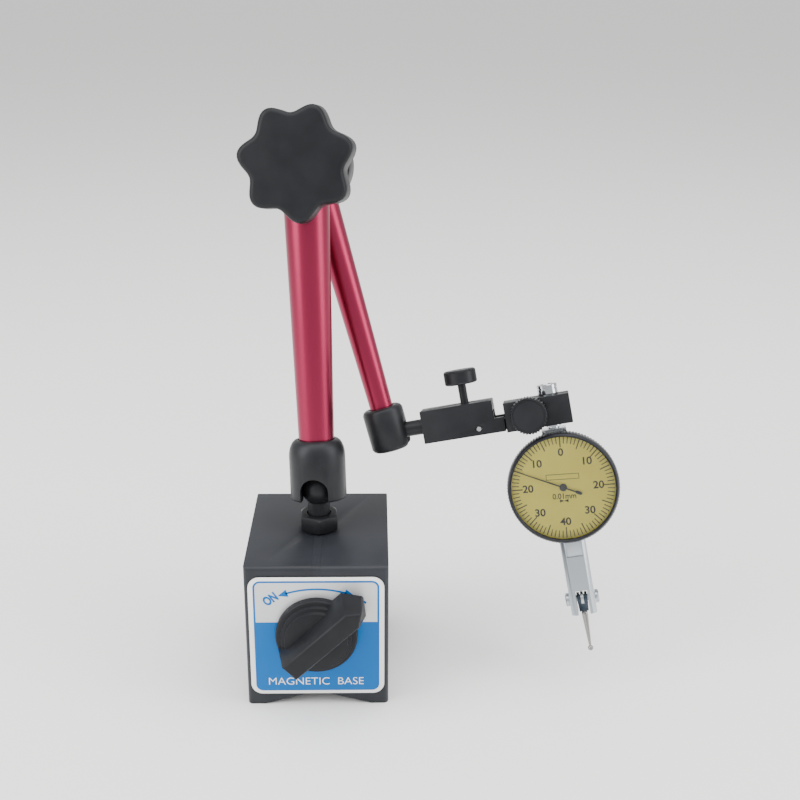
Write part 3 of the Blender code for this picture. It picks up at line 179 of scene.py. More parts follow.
def grain(material, size, depth, low, high, stretch=(1, 1, 1)):
    """Gives a surface bumps of a real size and depth in metres, and a roughness that varies with patches."""
    place = add_node(material, "ShaderNodeTexCoord")
    pull = add_node(
        material, "ShaderNodeMapping", {"Scale": stretch}, {"Vector": place.outputs["Object"]}
    )
    fine = add_node(
        material,
        "ShaderNodeTexNoise",
        {"Scale": 1 / size, "Detail": 3.0, "Roughness": 0.55},
        {"Vector": pull.outputs[0]},
    )
    add_node(
        material,
        "ShaderNodeBump",
        {"Strength": 0.6, "Distance": depth},
        {"Height": fine.outputs[0]},
        into="Normal",
    )
    patches = add_node(
        material, "ShaderNodeTexNoise", {"Scale": 1 / (size * 24), "Detail": 4.0}, {"Vector": pull.outputs[0]}
    )
    add_node(
        material,
        "ShaderNodeMapRange",
        {"To Min": low, "To Max": high},
        {"Value": patches.outputs[0]},
        into="Roughness",
    )
    return place, fine, patches


def tint(material, source, colours, stops=(0.35, 0.65)):
    """Lets a pattern run between two close colours, as dust, wear and plating do."""
    ramp = add_node(material, "ShaderNodeValToRGB", links={"Fac": source.outputs[0]}, into="Base Color")
    for element, stop, colour in zip(ramp.color_ramp.elements, stops, colours):
        element.position = stop
        element.color = linear(colour)


def soften(material, level):
    """Turns down the mirror of a painted or oiled surface."""
    material.node_tree.nodes["Principled BSDF"].inputs["Specular IOR Level"].default_value = level


# Baked enamel on ground steel: a soft sheen with the faint orange peel of a sprayed coat.
enamel = new_material("baked_black_enamel", "25272B", 0.42)
soften(enamel, 0.25)
tint(enamel, grain(enamel, 0.0006, 0.00003, 0.38, 0.5)[2], ("232529", "282A2F"))

ball_height = joint("lower_swivel")["pos_m"][2]
base_place = Matrix.Translation((*joint("lower_swivel")["pos_m"][:2], 0))
facing_front = Matrix.Rotation(math.pi / 2, 4, "X")
half_width, half_depth, height = 0.025, 0.030, 0.055
foot, vee_depth, spacer = 0.006, 0.0052, 0.0015

pole_right = block("pole_right_painted", (spacer, -half_depth, 0), (half_width, half_depth, height))
choose(pole_right, "FACE", lambda middle: True)
bpy.ops.mesh.bisect(plane_co=(half_width - foot, 0, 0), plane_no=(1, 0, 0))
choose(pole_right, "VERT", lambda middle: near(middle.x, spacer) and near(middle.z, 0))
rise = vee_depth * (1 - spacer / (half_width - foot))
bpy.ops.transform.translate(value=(0, 0, rise))
choose(
    pole_right,
    "EDGE",
    lambda middle: near(abs(middle.y), half_depth) and (near(middle.x, half_width) or near(middle.z, height)),
)
bpy.ops.mesh.bevel(offset=0.0016, segments=5, affect="EDGES")
leave_edit()
stud_hole = pin("stud_hole", 0.0043, height - 0.0076, height + 0.001)
rotor_bore = pin("rotor_bore", 0.0153, -0.04, 0.04, Matrix.Translation((0, 0, 0.030)) @ facing_front)
cut_away(pole_right, stud_hole, rotor_bore)
take(pole_right)
bpy.ops.object.duplicate()
pole_left = bpy.context.object
pole_left.name = "pole_left_painted"
pole_left.scale = (-1, 1, 1)
bpy.ops.object.transform_apply(location=True, rotation=True, scale=True)
choose(pole_left, "FACE", lambda middle: True)
bpy.ops.mesh.normals_make_consistent(inside=False)
leave_edit()
bar = block("spacer_painted", (-spacer, -half_depth, vee_depth), (spacer, half_depth, height))
choose(bar, "EDGE", lambda middle: near(abs(middle.y), half_depth) and near(middle.z, height))
bpy.ops.mesh.bevel(offset=0.0016, segments=5, affect="EDGES")
leave_edit()
cut_away(bar, stud_hole, rotor_bore)
sweep_up(stud_hole, rotor_bore)
settle(pole_right, base_place, enamel, "base", ["pole_right"], 0.00025)
settle(pole_left, base_place, enamel, "base", ["pole_left"], 0.00025)
settle(bar, base_place, enamel, "base", ["spacer_upper", "spacer_lower"])


# Rear cover
# A pressed steel plate over the back of the rotor bore, painted with the base and held
# by two cheese-head screws of plain steel.

def dress(material, *nodes):
    """Gives CAD nodes a better material."""
    for node in nodes:
        frame["nodes"][node].material_slots[0].material = material


# Turned bright steel: fine tool marks that show only as a soft sheen.
bright_steel = new_material("turned_bright_steel", "B9BBBD", 0.28, 1.0)
grain(bright_steel, 0.0003, 0.000008, 0.2, 0.34)
dress(enamel, "rear_cover")
dress(bright_steel, "rear_cover_screw_left", "rear_cover_screw_right")


# Label plate
# An aluminium plate with rounded corners, screen printed: a white margin, a blue line, a
# silver field over a blue one, the switch's arc arrow and the usual words.

label_front = 0.0311
label_low, label_high, label_side = 0.005, 0.0515, 0.0235
plate = block(
    "label_plate_printed", (-label_side, -label_front, label_low), (label_side, -0.0303, label_high)
)


def round_corners(piece, side, low, high, radius):
    choose(
        piece,
        "EDGE",
        lambda middle: near(abs(middle.x), side) and (near(middle.z, low) or near(middle.z, high)),
    )
    bpy.ops.mesh.bevel(offset=radius, segments=10, affect="EDGES")
    leave_edit()


round_corners(plate, label_side, label_low, label_high, 0.004)
spindle_hole = pin("spindle_hole", 0.0033, 0.02, 0.04, Matrix.Translation((0, 0, 0.030)) @ facing_front)
cut_away(plate, spindle_hole)

# Silver lacquer on rolled aluminium: a fine sheen, no visible metal grain.
silver_print = new_material("silver_screen_print", "C9CACC", 0.38, 0.25)
grain(silver_print, 0.0004, 0.000006, 0.34, 0.42)
# Screen ink: flat and even, with a slight sheen.
white_print = new_material("white_screen_print", "EDEDEB", 0.4)
grain(white_print, 0.0004, 0.000006, 0.36, 0.46)
blue_print = new_material("blue_screen_print", "0060A6", 0.4)
soften(blue_print, 0.18)
grain(blue_print, 0.0004, 0.000006, 0.36, 0.46)
settle(plate, base_place, white_print, "base", ["label_plate"], 0.00012)

ink = 0.00003
line_side, line_low, line_high = label_side - 0.0017, label_low + 0.0013, label_high - 0.0011
field_split = 0.0342


def printed_field(name, material, layer, side, low, high, radius):
    """A layer of ink with round corners, each layer on the one before."""
    front = label_front + ink * layer
    field = block(name, (-side, -front, low), (side, ink - front, high))
    round_corners(field, side, low, high, radius)
    cut_away(field, spindle_hole)
    return settle(field, base_place, material, "base")


printed_field("print_blue_line", blue_print, 1, line_side, line_low, line_high, 0.0026)
edge = 0.0007
silver = block(
    "print_silver_field",
    (edge - line_side, -label_front - ink * 2, field_split),
    (line_side - edge, -label_front - ink, line_high - edge),
)
choose(silver, "EDGE", lambda m: near(abs(m.x), line_side - edge) and near(m.z, line_high - edge))
bpy.ops.mesh.bevel(offset=0.0019, segments=8, affect="EDGES")
leave_edit()
cut_away(silver, spindle_hole)
settle(silver, base_place, silver_print, "base")
sweep_up(spindle_hole)


def lettering(name, words, cap_height, at, turn, thickness, width=1.0, bold=0.0):
    """Raised print of plain words on a plane that faces Z."""
    bpy.ops.object.select_all(action="DESELECT")
    bpy.ops.object.text_add()
    text = bpy.context.object
    text.name = name
    text.data.body = words
    text.data.size = cap_height / 0.729
    text.data.align_x = "CENTER"
    text.data.align_y = "CENTER"
    text.data.extrude = thickness / 2
    text.data.offset = bold
    bpy.ops.object.convert(target="MESH")
    text = bpy.context.object
    text.matrix_world = (
        Matrix.Translation(at)
        @ Matrix.Rotation(math.radians(turn), 4, "Z")
        @ Matrix.Diagonal((width, 1, 1, 1))
    )
    bpy.ops.object.transform_apply(location=True, rotation=True, scale=True)
    return text


label_plane = base_place @ facing_front
words = lettering(
    "print_words", "MAGNETIC  BASE", 0.0031, (-0.0006, 0.0100, label_front + ink * 1.5), 0, ink, 1.03, -0.00004
)
settle(words, label_plane, white_print, "base")
for name, across, up, turn in (("ON", -0.0157, 0.0433, 35), ("OFF", 0.0139, 0.0421, -35)):
    at = (across, up, label_front + ink * 2.5)
    word = lettering(f"print_{name.lower()}", name, 0.0034, at, turn, ink, 0.7, 0.00022)
    settle(word, label_plane, blue_print, "base")

arc_radius, arc_middle, arc_half = 0.034, 0.0132, math.radians(18.0)
bpy.ops.object.select_all(action="DESELECT")
bpy.ops.mesh.primitive_plane_add(size=0.0007, location=(0, arc_radius, 0))
arrow = bpy.context.object
arrow.name = "print_arc_arrow"
bpy.ops.object.transform_apply(location=True, rotation=True, scale=True)
choose(arrow, "VERT", lambda middle: middle.x > 0)
bpy.ops.mesh.delete(type="VERT")
leave_edit()
choose(arrow, "VERT", lambda middle: True)
bpy.ops.transform.translate(value=(0.00035, 0, 0))
bpy.ops.transform.rotate(value=-arc_half, orient_axis="Z", center_override=(0, 0, 0))
bpy.ops.mesh.spin(steps=36, angle=2 * arc_half, center=(0, 0, 0), axis=(0, 0, 1))
bpy.ops.mesh.select_all(action="SELECT")
bpy.ops.mesh.extrude_region_move(TRANSFORM_OT_translate={"value": (0, 0, ink)})
bpy.ops.mesh.select_all(action="SELECT")
bpy.ops.mesh.normals_make_consistent(inside=False)
leave_edit()
arrow_place = label_plane @ Matrix.Translation((0, arc_middle, label_front + ink * 2))
settle(arrow, arrow_place, blue_print, "base")
for side in (-1, 1):
    bpy.ops.object.select_all(action="DESELECT")
    bpy.ops.mesh.primitive_cylinder_add(vertices=3, radius=0.002, depth=ink, location=(0, 0, ink / 2))
    head = bpy.context.object
    head.name = f"print_arrow_head_{'left' if side < 0 else 'right'}"
    head.scale = (0.85, 1.15, 1)
    bpy.ops.object.transform_apply(location=True, rotation=True, scale=True)
    along = Matrix.Rotation(side * -math.radians(18.9), 4, "Z")
    head_place = arrow_place @ along @ Matrix.Translation((0, arc_radius, 0))
    head_turn = Matrix.Rotation(math.radians(-90 * side), 4, "Z")
    settle(head, head_place @ head_turn, blue_print, "base")


# Magnet and its switch
# A ferrite magnet between two brass end caps turns on a steel spindle in the bore. The
# knob on the front is moulded in black thermoset: a stepped disc under a pointed bar.

def turn_on_lathe(name, profile, sides=96, bored=False):
    """Rings of (radius, height) drawn out one from the last, capped at both ends, or closed round a bore."""
    bpy.ops.object.select_all(action="DESELECT")
    radius, level = profile[0]
    fill = "NOTHING" if bored else "NGON"
    bpy.ops.mesh.primitive_circle_add(vertices=sides, radius=radius, location=(0, 0, level), fill_type=fill)
    piece = bpy.context.object
    piece.name = name
    bpy.ops.object.transform_apply(location=True, rotation=True, scale=True)
    bpy.ops.object.mode_set(mode="EDIT")
    bpy.ops.mesh.select_mode(type="VERT")
    bpy.ops.mesh.select_all(action="SELECT")
    for next_radius, next_level in [*profile[1:], *(profile[:1] if bored else [])]:
        step = {"value": (0, 0, next_level - level)}
        bpy.ops.mesh.extrude_region_move(TRANSFORM_OT_translate=step)
        ratio = next_radius / radius
        bpy.ops.transform.resize(value=(ratio, ratio, 1), center_override=(0, 0, next_level))
        radius, level = next_radius, next_level
    bpy.ops.mesh.select_all(action="SELECT")
    bpy.ops.mesh.remove_doubles(threshold=1e-6)
    bpy.ops.mesh.normals_make_consistent(inside=False)
    leave_edit()
    return piece


# Ferrite is dull grey-black; brass is turned and slightly tarnished.
ferrite = new_material("sintered_ferrite", "3A3B3E", 0.7)
grain(ferrite, 0.0004, 0.00003, 0.62, 0.78)
brass = new_material("turned_brass", "B89A52", 0.3, 1.0)
grain(brass, 0.0003, 0.000008, 0.24, 0.38)
dress(ferrite, "magnet_rotor")
dress(brass, "rotor_cap_front", "rotor_cap_rear")
dress(bright_steel, "switch_spindle")

# Black thermoset: a fine spark-eroded grain that keeps highlights broad and grey.
plastic = new_material("moulded_black_plastic", "17181B", 0.42)
tint(plastic, grain(plastic, 0.00035, 0.00002, 0.38, 0.48)[2], ("151619", "1A1B1E"))
soften(plastic, 0.18)

knob_turn = Matrix.Rotation(math.radians(43.5), 4, "Z")
switch_place = Matrix.Translation(joint("switch_turn")["pos_m"]) @ facing_front
disc = turn_on_lathe(
    "switch_knob_disc",
    [
        (0.0142, 0.0),
        (0.01425, 0.0004),
        (0.01425, 0.0024),
        (0.0138, 0.0030),
        (0.0126, 0.0030),
        (0.0124, 0.0044),
        (0.0112, 0.0045),
        (0.0110, 0.0059),
        (0.0040, 0.0061),
    ],
)
half_bar, tip, point_start, tail, top = 0.00625, 0.0221, 0.0178, 0.0128, 0.0129
knob_bar = block("switch_knob_bar", (-tail, -half_bar, 0.0016), (point_start, half_bar, top))
choose(knob_bar, "FACE", lambda middle: near(middle.x, point_start))
bpy.ops.mesh.extrude_region_move(TRANSFORM_OT_translate={"value": (tip - point_start, 0, 0)})
bpy.ops.transform.resize(value=(1, 0.08, 1), center_override=(tip, 0, 0))
choose(knob_bar, "VERT", lambda middle: near(middle.z, top))
bpy.ops.transform.resize(value=(0.97, 0.52, 1), center_override=(0, 0, top))
choose(knob_bar, "EDGE", lambda middle: near(middle.z, top))
bpy.ops.mesh.bevel(offset=0.0008, segments=4, affect="EDGES")
leave_edit()
bore = pin("spindle_bore", 0.0033, -0.001, 0.0093)
cut_away(disc, bore)
cut_away(knob_bar, bore)
sweep_up(bore)
settle(disc, switch_place, plastic, "magnet_switch", ["switch_knob"], 0.0002)
settle(knob_bar, switch_place @ knob_turn, plastic, "magnet_switch", ["switch_knob"], 0.0003)


# Lower ball stud and lock nut
# A turned steel ball on an M8 stud, screwed into the base and locked by a hexagon nut with
# a black oxide finish.

def ball(radius, low, high, steps=14):
    """Profile rings of a ball about the origin, between two heights."""
    start, end = math.asin(low / radius), math.asin(high / radius)
    angles = [start + (end - start) * i / steps for i in range(steps + 1)]
    return [(radius * math.cos(angle), radius * math.sin(angle)) for angle in angles]


# Black oxide on machined steel: nearly black, with a dull metal sheen.
oxide = new_material("black_oxide_steel", "1E1F22", 0.4, 0.35)
tint(oxide, grain(oxide, 0.0004, 0.000012, 0.34, 0.48)[2], ("1C1D20", "222326"))
soften(oxide, 0.3)

ball_radius, stud_radius = 0.0062, 0.004
neck = -math.sqrt(ball_radius**2 - stud_radius**2)
stud = turn_on_lathe(
    "ball_stud",
    [(stud_radius, -0.0227), (stud_radius, neck), *ball(ball_radius, neck, ball_radius * 0.999)[1:]],
)
stud_place = base_place @ Matrix.Translation((0, 0, ball_height))
settle(stud, stud_place, oxide, "ball_stud", ["lower_ball_stud"])
nut_low = height + 0.0003
nut = turn_on_lathe(
    "lock_nut",
    [
        (0.0062, 0),
        (0.0071, 0.0005),
        (0.0077, 0.0011),
        (0.0077, 0.0050),
        (0.0071, 0.0056),
        (0.0062, 0.0061),
    ],
)
flats = pin("nut_flats", 0.0065 / math.cos(math.pi / 6), -0.001, 0.008, Matrix.Rotation(math.pi / 6, 4, "Z"), 6)
take(nut)
facet = nut.modifiers.new("flats", "BOOLEAN")
facet.operation = "INTERSECT"
facet.object = flats
bpy.ops.object.modifier_apply(modifier=facet.name)
thread = pin("nut_thread", 0.0043, -0.002, 0.009)
cut_away(nut, thread)
sweep_up(flats, thread)
nut_place = base_place @ Matrix.Translation((0, 0, nut_low)) @ Matrix.Rotation(math.radians(34), 4, "Z")
settle(nut, nut_place, oxide, "ball_stud", ["stud_lock_nut"], 0.0001, 20)


# Lower arm
# A slotted steel socket grips the ball. A tapered aluminium tube, anodised red, is pressed
# into it and holds the push rod that the elbow's drawbar drives down on the ball seat.

def stand(origin, up, right):
    """The place of a piece with Z along up and X as near as can be to right."""
    z = Vector(up).normalized()
    y = z.cross(Vector(right)).normalized()
    place = Matrix((y.cross(z), y, z)).transposed().to_4x4()
    place.translation = origin
    return place


tilt = joint("lower_tilt")
knob_joint = joint("lock_knob_turn")
arm_up = Vector(knob_joint["pos_m"]) - Vector(tilt["pos_m"])
arm_length = arm_up.length
lower_arm = stand(tilt["pos_m"], arm_up, tilt["axis"])

rim, shoulder, socket_top, socket_radius = -0.0037, 0.012, 0.018, 0.0101
inner_ball = 0.0065
dome = [
    (0.00695 + 0.00315 * math.sin(math.radians(a)), shoulder + 0.006 * math.cos(math.radians(a)))
    for a in (4, 18, 32, 46, 60, 74, 90)
]
socket = turn_on_lathe(
    "lower_socket_turned",
    [
        *dome,
        (socket_radius, rim + 0.0009),
        (socket_radius - 0.0003, rim + 0.0003),
        (socket_radius - 0.0009, rim),
        (inner_ball, rim),
        *ball(inner_ball, rim * 0.8, 0.0, 6),
        (inner_ball, socket_top),
    ],
    bored=True,
)
slot_cut = block("socket_slot", (-0.005, -0.012, -0.009), (0.005, -0.001, 0.0))
slot_end = pin("socket_slot_end", 0.005, 0.001, 0.012, facing_front)
cut_away(socket, slot_cut, slot_end)
sweep_up(slot_cut, slot_end)
settle(socket, lower_arm, oxide, "lower_arm", ["lower_socket"], 0.0002)

# Drawn aluminium, anodised red: a tinted metal with a satin sheen and fine draw marks.
anodised = new_material("red_anodised_aluminium", "8C2A45", 0.3, 0.92)
grain(anodised, 0.0005, 0.000006, 0.29, 0.37, (1, 1, 0.15))
tube_top = arm_length - 0.005
tube = turn_on_lathe(
    "lower_tube_anodised",
    [
        (0.0032, 0.0123),
        (0.0062, 0.0123),
        (0.0062, socket_top + 0.0002),
        (0.00635, socket_top + 0.0003),
        (0.0082, tube_top),
        (0.0032, tube_top),
    ],
    bored=True,
)
settle(tube, lower_arm, anodised, "lower_arm", ["lower_tube"])
dress(brass, "lower_ball_seat")
dress(bright_steel, "lower_push_rod")


# Elbow
# Two bored steel heads side by side on a drawbar. The black star knob on the front, moulded
# over a brass nut, pulls the drawbar and locks all three joints at once.

along_y = Matrix.Rotation(-math.pi / 2, 4, "X")
elbow = stand(knob_joint["pos_m"], arm_up, tilt["axis"])
head_half = 0.0085
head = turn_on_lathe(
    "lower_head_turned",
    [(0.0046, head_half), (0.010, head_half), (0.010, -head_half), (0.0046, -head_half)],
    bored=True,
)
settle(head, elbow @ along_y, oxide, "lower_arm", ["lower_head"], 0.0004)
dress(bright_steel, "lock_bolt")
dress(brass, "knob_insert")

knob_back, star_thick, lobes = head_half + 0.0005, 0.009, 7
tip_radius, valley_radius, around = 0.0204, 0.0167, 16
bpy.ops.object.select_all(action="DESELECT")
bpy.ops.mesh.primitive_circle_add(
    vertices=lobes * around, radius=tip_radius, location=(0, 0, knob_back), fill_type="NGON"
)
star = bpy.context.object
star.name = "star_knob"
bpy.ops.object.transform_apply(location=True, rotation=True, scale=True)


def phase_of(middle):
    return round(math.atan2(middle.y, middle.x) / (2 * math.pi) * lobes * around) % around


for phase in range(1, around):
    middle_radius, swing = (tip_radius + valley_radius) / 2, (tip_radius - valley_radius) / 2
    ratio = (middle_radius + swing * math.cos(2 * math.pi * phase / around)) / tip_radius
    choose(star, "VERT", lambda middle: phase_of(middle) == phase)
    bpy.ops.transform.resize(value=(ratio, ratio, 1), center_override=(0, 0, knob_back))
choose(star, "FACE", lambda middle: True)
bpy.ops.mesh.extrude_region_move(TRANSFORM_OT_translate={"value": (0, 0, star_thick)})
bpy.ops.transform.resize(value=(0.985, 0.985, 1), center_override=(0, 0, 0))
bpy.ops.mesh.select_all(action="SELECT")
bpy.ops.mesh.normals_make_consistent(inside=False)
choose(star, "EDGE", lambda middle: near(middle.z, knob_back + star_thick))
bpy.ops.mesh.bevel(offset=0.0018, segments=6, affect="EDGES")
choose(star, "EDGE", lambda middle: near(middle.z, knob_back))
bpy.ops.mesh.bevel(offset=0.0005, segments=2, affect="EDGES")
leave_edit()
insert_bore = pin("insert_bore", 0.0049, knob_back - 0.001, knob_back + 0.0074)
cut_away(star, insert_bore)
sweep_up(insert_bore)
star_turn = Matrix.Rotation(math.radians(-87.3), 4, "Z")
settle(star, elbow @ facing_front @ star_turn, plastic, "elbow_knob", ["lock_knob"], 0, 50)


# Upper arm
# Its head sits behind the lower one, closed by a plastic cap. A slimmer red tube runs down
# to the second slotted socket.

fold = joint("elbow_fold")
upper_tilt = joint("upper_tilt")
fore_up = Vector(upper_tilt["pos_m"]) - Vector(fold["pos_m"])
across = Vector(fold["axis"]) * -1
upper_arm = stand(fold["pos_m"], fore_up, across.cross(fore_up))
upper_length = fore_up.length
upper_half = 0.0055
upper_head = turn_on_lathe(
    "upper_head_turned",
    [
        (0.0046, upper_half - 0.0024),
        (0.0075, upper_half - 0.0024),
        (0.0075, upper_half),
        (0.01425, upper_half),
        (0.01425, -upper_half),
        (0.0046, -upper_half),
    ],
    bored=True,
)
settle(upper_head, upper_arm @ along_y, oxide, "upper_arm", ["upper_head"], 0.0005)
cap_low = upper_half + 0.0003
cap = turn_on_lathe(
    "rear_cap_moulded",
    [
        (0.0125, cap_low),
        (0.0125, cap_low + 0.0006),
        (0.0122, cap_low + 0.0011),
        (0.0115, cap_low + 0.0014),
        (0.0095, cap_low + 0.0014),
        (0.0093, cap_low + 0.0011),
        (0.0020, cap_low + 0.0011),
    ],
)
settle(cap, upper_arm @ along_y, plastic, "upper_arm", ["rear_cap"])

upper_socket_low = upper_length - 0.0095
fore_tube = turn_on_lathe(
    "upper_tube_anodised",
    [
        (0.0022, 0.0126),
        (0.00545, 0.0126),
        (0.0042, upper_socket_low),
        (0.0042, upper_socket_low + 0.003),
        (0.0022, upper_socket_low + 0.003),
    ],
    bored=True,
)
settle(fore_tube, upper_arm, anodised, "upper_arm", ["upper_tube"])
dress(brass, "upper_ball_seat")
dress(bright_steel, "upper_push_rod")

mouth, fore_ball, fore_radius = 0.0065, 0.0048, 0.0075
fore_socket = turn_on_lathe(
    "upper_socket_turned",
    [
        (0.0055, mouth),
        (0.0063, mouth - 0.0002),
        (0.0070, mouth - 0.0007),
        (fore_radius, mouth - 0.0016),
        (fore_radius, -0.0080),
        (fore_radius - 0.0005, -0.0090),
        (fore_radius - 0.0013, -0.0095),
        (0.0045, -0.0095),
        (0.0045, -0.0047),
        (0.0048, -0.0043),
        *ball(fore_ball, 0.0, mouth * 0.45, 6),
    ],
    bored=True,
)
fore_slot = block("fore_slot", (-0.012, -0.0033, 0.0), (-0.001, 0.0033, 0.012))
fore_slot_end = pin("fore_slot_end", 0.0033, -0.012, -0.001, Matrix.Rotation(math.pi / 2, 4, "Y"))
cut_away(fore_socket, fore_slot, fore_slot_end)
sweep_up(fore_slot, fore_slot_end)
upper_joint = upper_arm @ Matrix.Translation((0, 0, upper_length))
settle(fore_socket, upper_joint, oxide, "upper_arm", ["upper_socket"], 0.0002)

holder_roll, stem_turn = joint("holder_roll"), joint("indicator_turn")
holder = stand(holder_roll["pos_m"], stem_turn["axis"], holder_roll["axis"])
along_x = Matrix.Rotation(math.pi / 2, 4, "Y")
small_ball, shank = 0.0045, 0.0028
small_neck = math.sqrt(small_ball**2 - shank**2)
fore_stud = turn_on_lathe(
    "upper_ball_stud_turned", [*ball(small_ball, -small_ball * 0.999, small_neck), (shank, 0.0212)]
)
settle(fore_stud, holder @ along_x, oxide, "upper_stud", ["upper_ball_stud"])


# Indicator holder
# Two milled steel bars with a black oxide finish. The jaw is a lever on a cross pin in the
# first bar; the thumbscrew rocks it for fine setting and the side knob clamps the stem.

bar_piece = block("holder_bar", (0.0132, -0.006, -0.0059), (0.043, 0.006, 0.0059))
saws = [
    block("saw_notch", (0.0395, -0.007, -0.0007), (0.044, 0.007, 0.007)),
    block("saw_channel", (0.0225, -0.0032, -0.007), (0.044, 0.0032, 0.002)),
    pin("shank_hole", 0.0031, 0.012, 0.0215, along_x),
    pin("thumb_hole", 0.0018, 0.0, 0.007, Matrix.Translation((0.0295, 0, 0))),
    pin("pin_hole", 0.00115, -0.007, 0.007, Matrix.Translation((0.0335, 0, -0.0036)) @ facing_front),
]
cut_away(bar_piece, *saws)
sweep_up(*saws)
settle(bar_piece, holder, oxide, "holder", ["clamp_housing"], 0.00025)
dress(bright_steel, "pivot_pin", "lever_spring")

jaw = block("holder_jaw_milled", (0.0433, -0.0055, -0.0066), (0.067, 0.0055, 0.004))
tongue = block("jaw_tongue", (0.023, -0.0029, -0.0056), (0.0443, 0.0029, -0.0016))
take(jaw)
union = jaw.modifiers.new("tongue", "BOOLEAN")
union.operation = "UNION"
union.object = tongue
bpy.ops.object.modifier_apply(modifier=union.name)
saws = [
    tongue,
    pin("jaw_pin_hole", 0.00115, -0.007, 0.007, Matrix.Translation((0.0335, 0, -0.0036)) @ facing_front),
    pin("stem_hole", 0.0033, -0.008, 0.006, Matrix.Translation((0.0597, 0, 0))),
    block("clamp_slit", (0.048, -0.0004, -0.008), (0.068, 0.0004, 0.006)),
    pin("clamp_screw_hole", 0.0023, -0.0043, 0.0065, Matrix.Translation((0.052, 0, -0.0013)) @ facing_front),
]
cut_away(jaw, *saws[1:])
sweep_up(*saws)
settle(jaw, holder, oxide, "jaw", ["holder_jaw"], 0.0002)


def knurl(piece, sides, depth, band, crossed=0.0):
    """Pushes every other corner of the rings in a band inwards; crossed rings alternate, one each step up."""
    def is_low(middle):
        ring = round((middle.z - band[0]) / crossed) if crossed else 0
        turn = round(math.atan2(middle.y, middle.x) / (2 * math.pi) * sides)
        on_rim = middle.xy.length > band[2] and band[0] - 1e-5 < middle.z < band[1] + 1e-5
        return on_rim and (ring + turn) % 2 == 0

    choose(piece, "VERT", is_low)
    bpy.ops.transform.resize(value=(1 - depth, 1 - depth, 1), center_override=(0, 0, 0))
    leave_edit()


head_radius, head_low, head_high = 0.0059, 0.0131, 0.0183
knurl_step = 0.00042
rings = [head_low + 0.0006 + knurl_step * i for i in range(10)]
screw = turn_on_lathe(
    "thumbscrew_turned",
    [
        (0.0015, -0.0013),
        (0.0015, head_low),
        (head_radius - 0.0006, head_low),
        (head_radius - 0.0001, head_low + 0.0003),
        *[(head_radius, level) for level in rings],
        (head_radius - 0.0001, head_high - 0.0004),
        (head_radius - 0.0006, head_high),
    ],
    sides=56,
)
knurl(screw, 56, 0.08, (rings[0], rings[-1], head_radius - 0.00005), knurl_step)
screw_place = holder @ Matrix.Translation((0.0295, 0, 0))
settle(screw, screw_place, oxide, "thumbscrew", ["fine_thumbscrew"], 0, 25)

side_knob = turn_on_lathe(
    "clamp_knob_turned",
    [
        (0.0020, -0.0037),
        (0.0020, 0.0058),
        (0.0062, 0.0058),
        (0.0067, 0.0063),
        (0.0067, 0.0118),
        (0.0062, 0.0123),
        (0.0058, 0.0123),
        (0.0056, 0.0119),
        (0.0005, 0.0119),
    ],
    sides=72,
)
knurl(side_knob, 72, 0.07, (0.0063, 0.0118, 0.0066))
knob_place = holder @ Matrix.Translation((0.052, 0, -0.0013)) @ facing_front
settle(side_knob, knob_place, oxide, "jaw_knob", ["clamp_knob"], 0, 25)


# Indicator body
# A die-cast drum with a neck and a dovetail rail, plated satin chrome. The polished stem is
# riveted in a shoe that slides on the rail; a thin cover closes the back.

# Bright chrome plate over polished steel mirrors the room; satin chrome is blasted first.
chrome = new_material("bright_chrome_plate", "B4B8BC", 0.08, 1.0)
grain(chrome, 0.0008, 0.000002, 0.06, 0.11)
satin_chrome = new_material("satin_chrome_plate", "AEB4B9", 0.33, 1.0)
grain(satin_chrome, 0.0003, 0.000006, 0.28, 0.38)

indicator = stand(joint("pointer_turn")["pos_m"], stem_turn["axis"], holder_roll["axis"])
dial_plane = indicator @ facing_front
stem = turn_on_lathe(
    "stem_plated",
    [
        (0.0020, 0.0199),
        (0.0020, 0.0215),
        (0.0030, 0.0215),
        (0.0030, 0.0331),
        (0.0033, 0.0331),
        (0.00365, 0.0334),
        (0.00365, 0.0350),
        (0.0034, 0.0351),
        (0.0034, 0.0354),
        (0.00365, 0.0355),
        (0.00365, 0.0365),
        (0.0033, 0.0368),
        (0.0022, 0.0368),
        (0.0020, 0.0365),
        (0.0004, 0.0365),
    ],
)
settle(stem, indicator, chrome, "indicator", ["indicator_stem"])
dress(chrome, "dovetail_shoe")

drum = turn_on_lathe(
    "case_drum",
    [
        (0.0145, -0.0045),
        (0.0162, -0.0045),
        (0.0172, -0.0040),
        (0.0177, -0.0030),
        (0.0177, 0.0064),
        (0.0145, 0.0064),
    ],
    bored=True,
)
settle(drum, dial_plane, satin_chrome, "indicator", ["indicator_case"], 0.0002)
neck_half, deep = 0.0046, 0.0044
neck_piece = block("case_neck", (-neck_half, -deep, -0.0477), (neck_half, deep, -0.0160))
choose(neck_piece, "EDGE", lambda m: near(abs(m.x), neck_half) and near(abs(m.y), deep))
bpy.ops.mesh.bevel(offset=0.0012, segments=1, affect="EDGES")
choose(neck_piece, "VERT", lambda m: near(abs(m.y), deep))
bpy.ops.transform.resize(value=(0.94, 1, 1), center_override=(0, 0, 0))
leave_edit()
rail = block("case_rail", (-0.0023, -0.0003 - 0.0026, 0.0157), (0.0023, 0.0038, 0.0196))
choose(rail, "VERT", lambda m: near(m.z, 0.0196))
bpy.ops.transform.resize(value=(1.43, 1, 1), center_override=(0, 0, 0))
leave_edit()
bezel_room = pin("bezel_room", 0.0203, 0.0029, 0.0080, facing_front)
drum_room = pin("drum_room", 0.0146, -0.005, 0.008, facing_front)
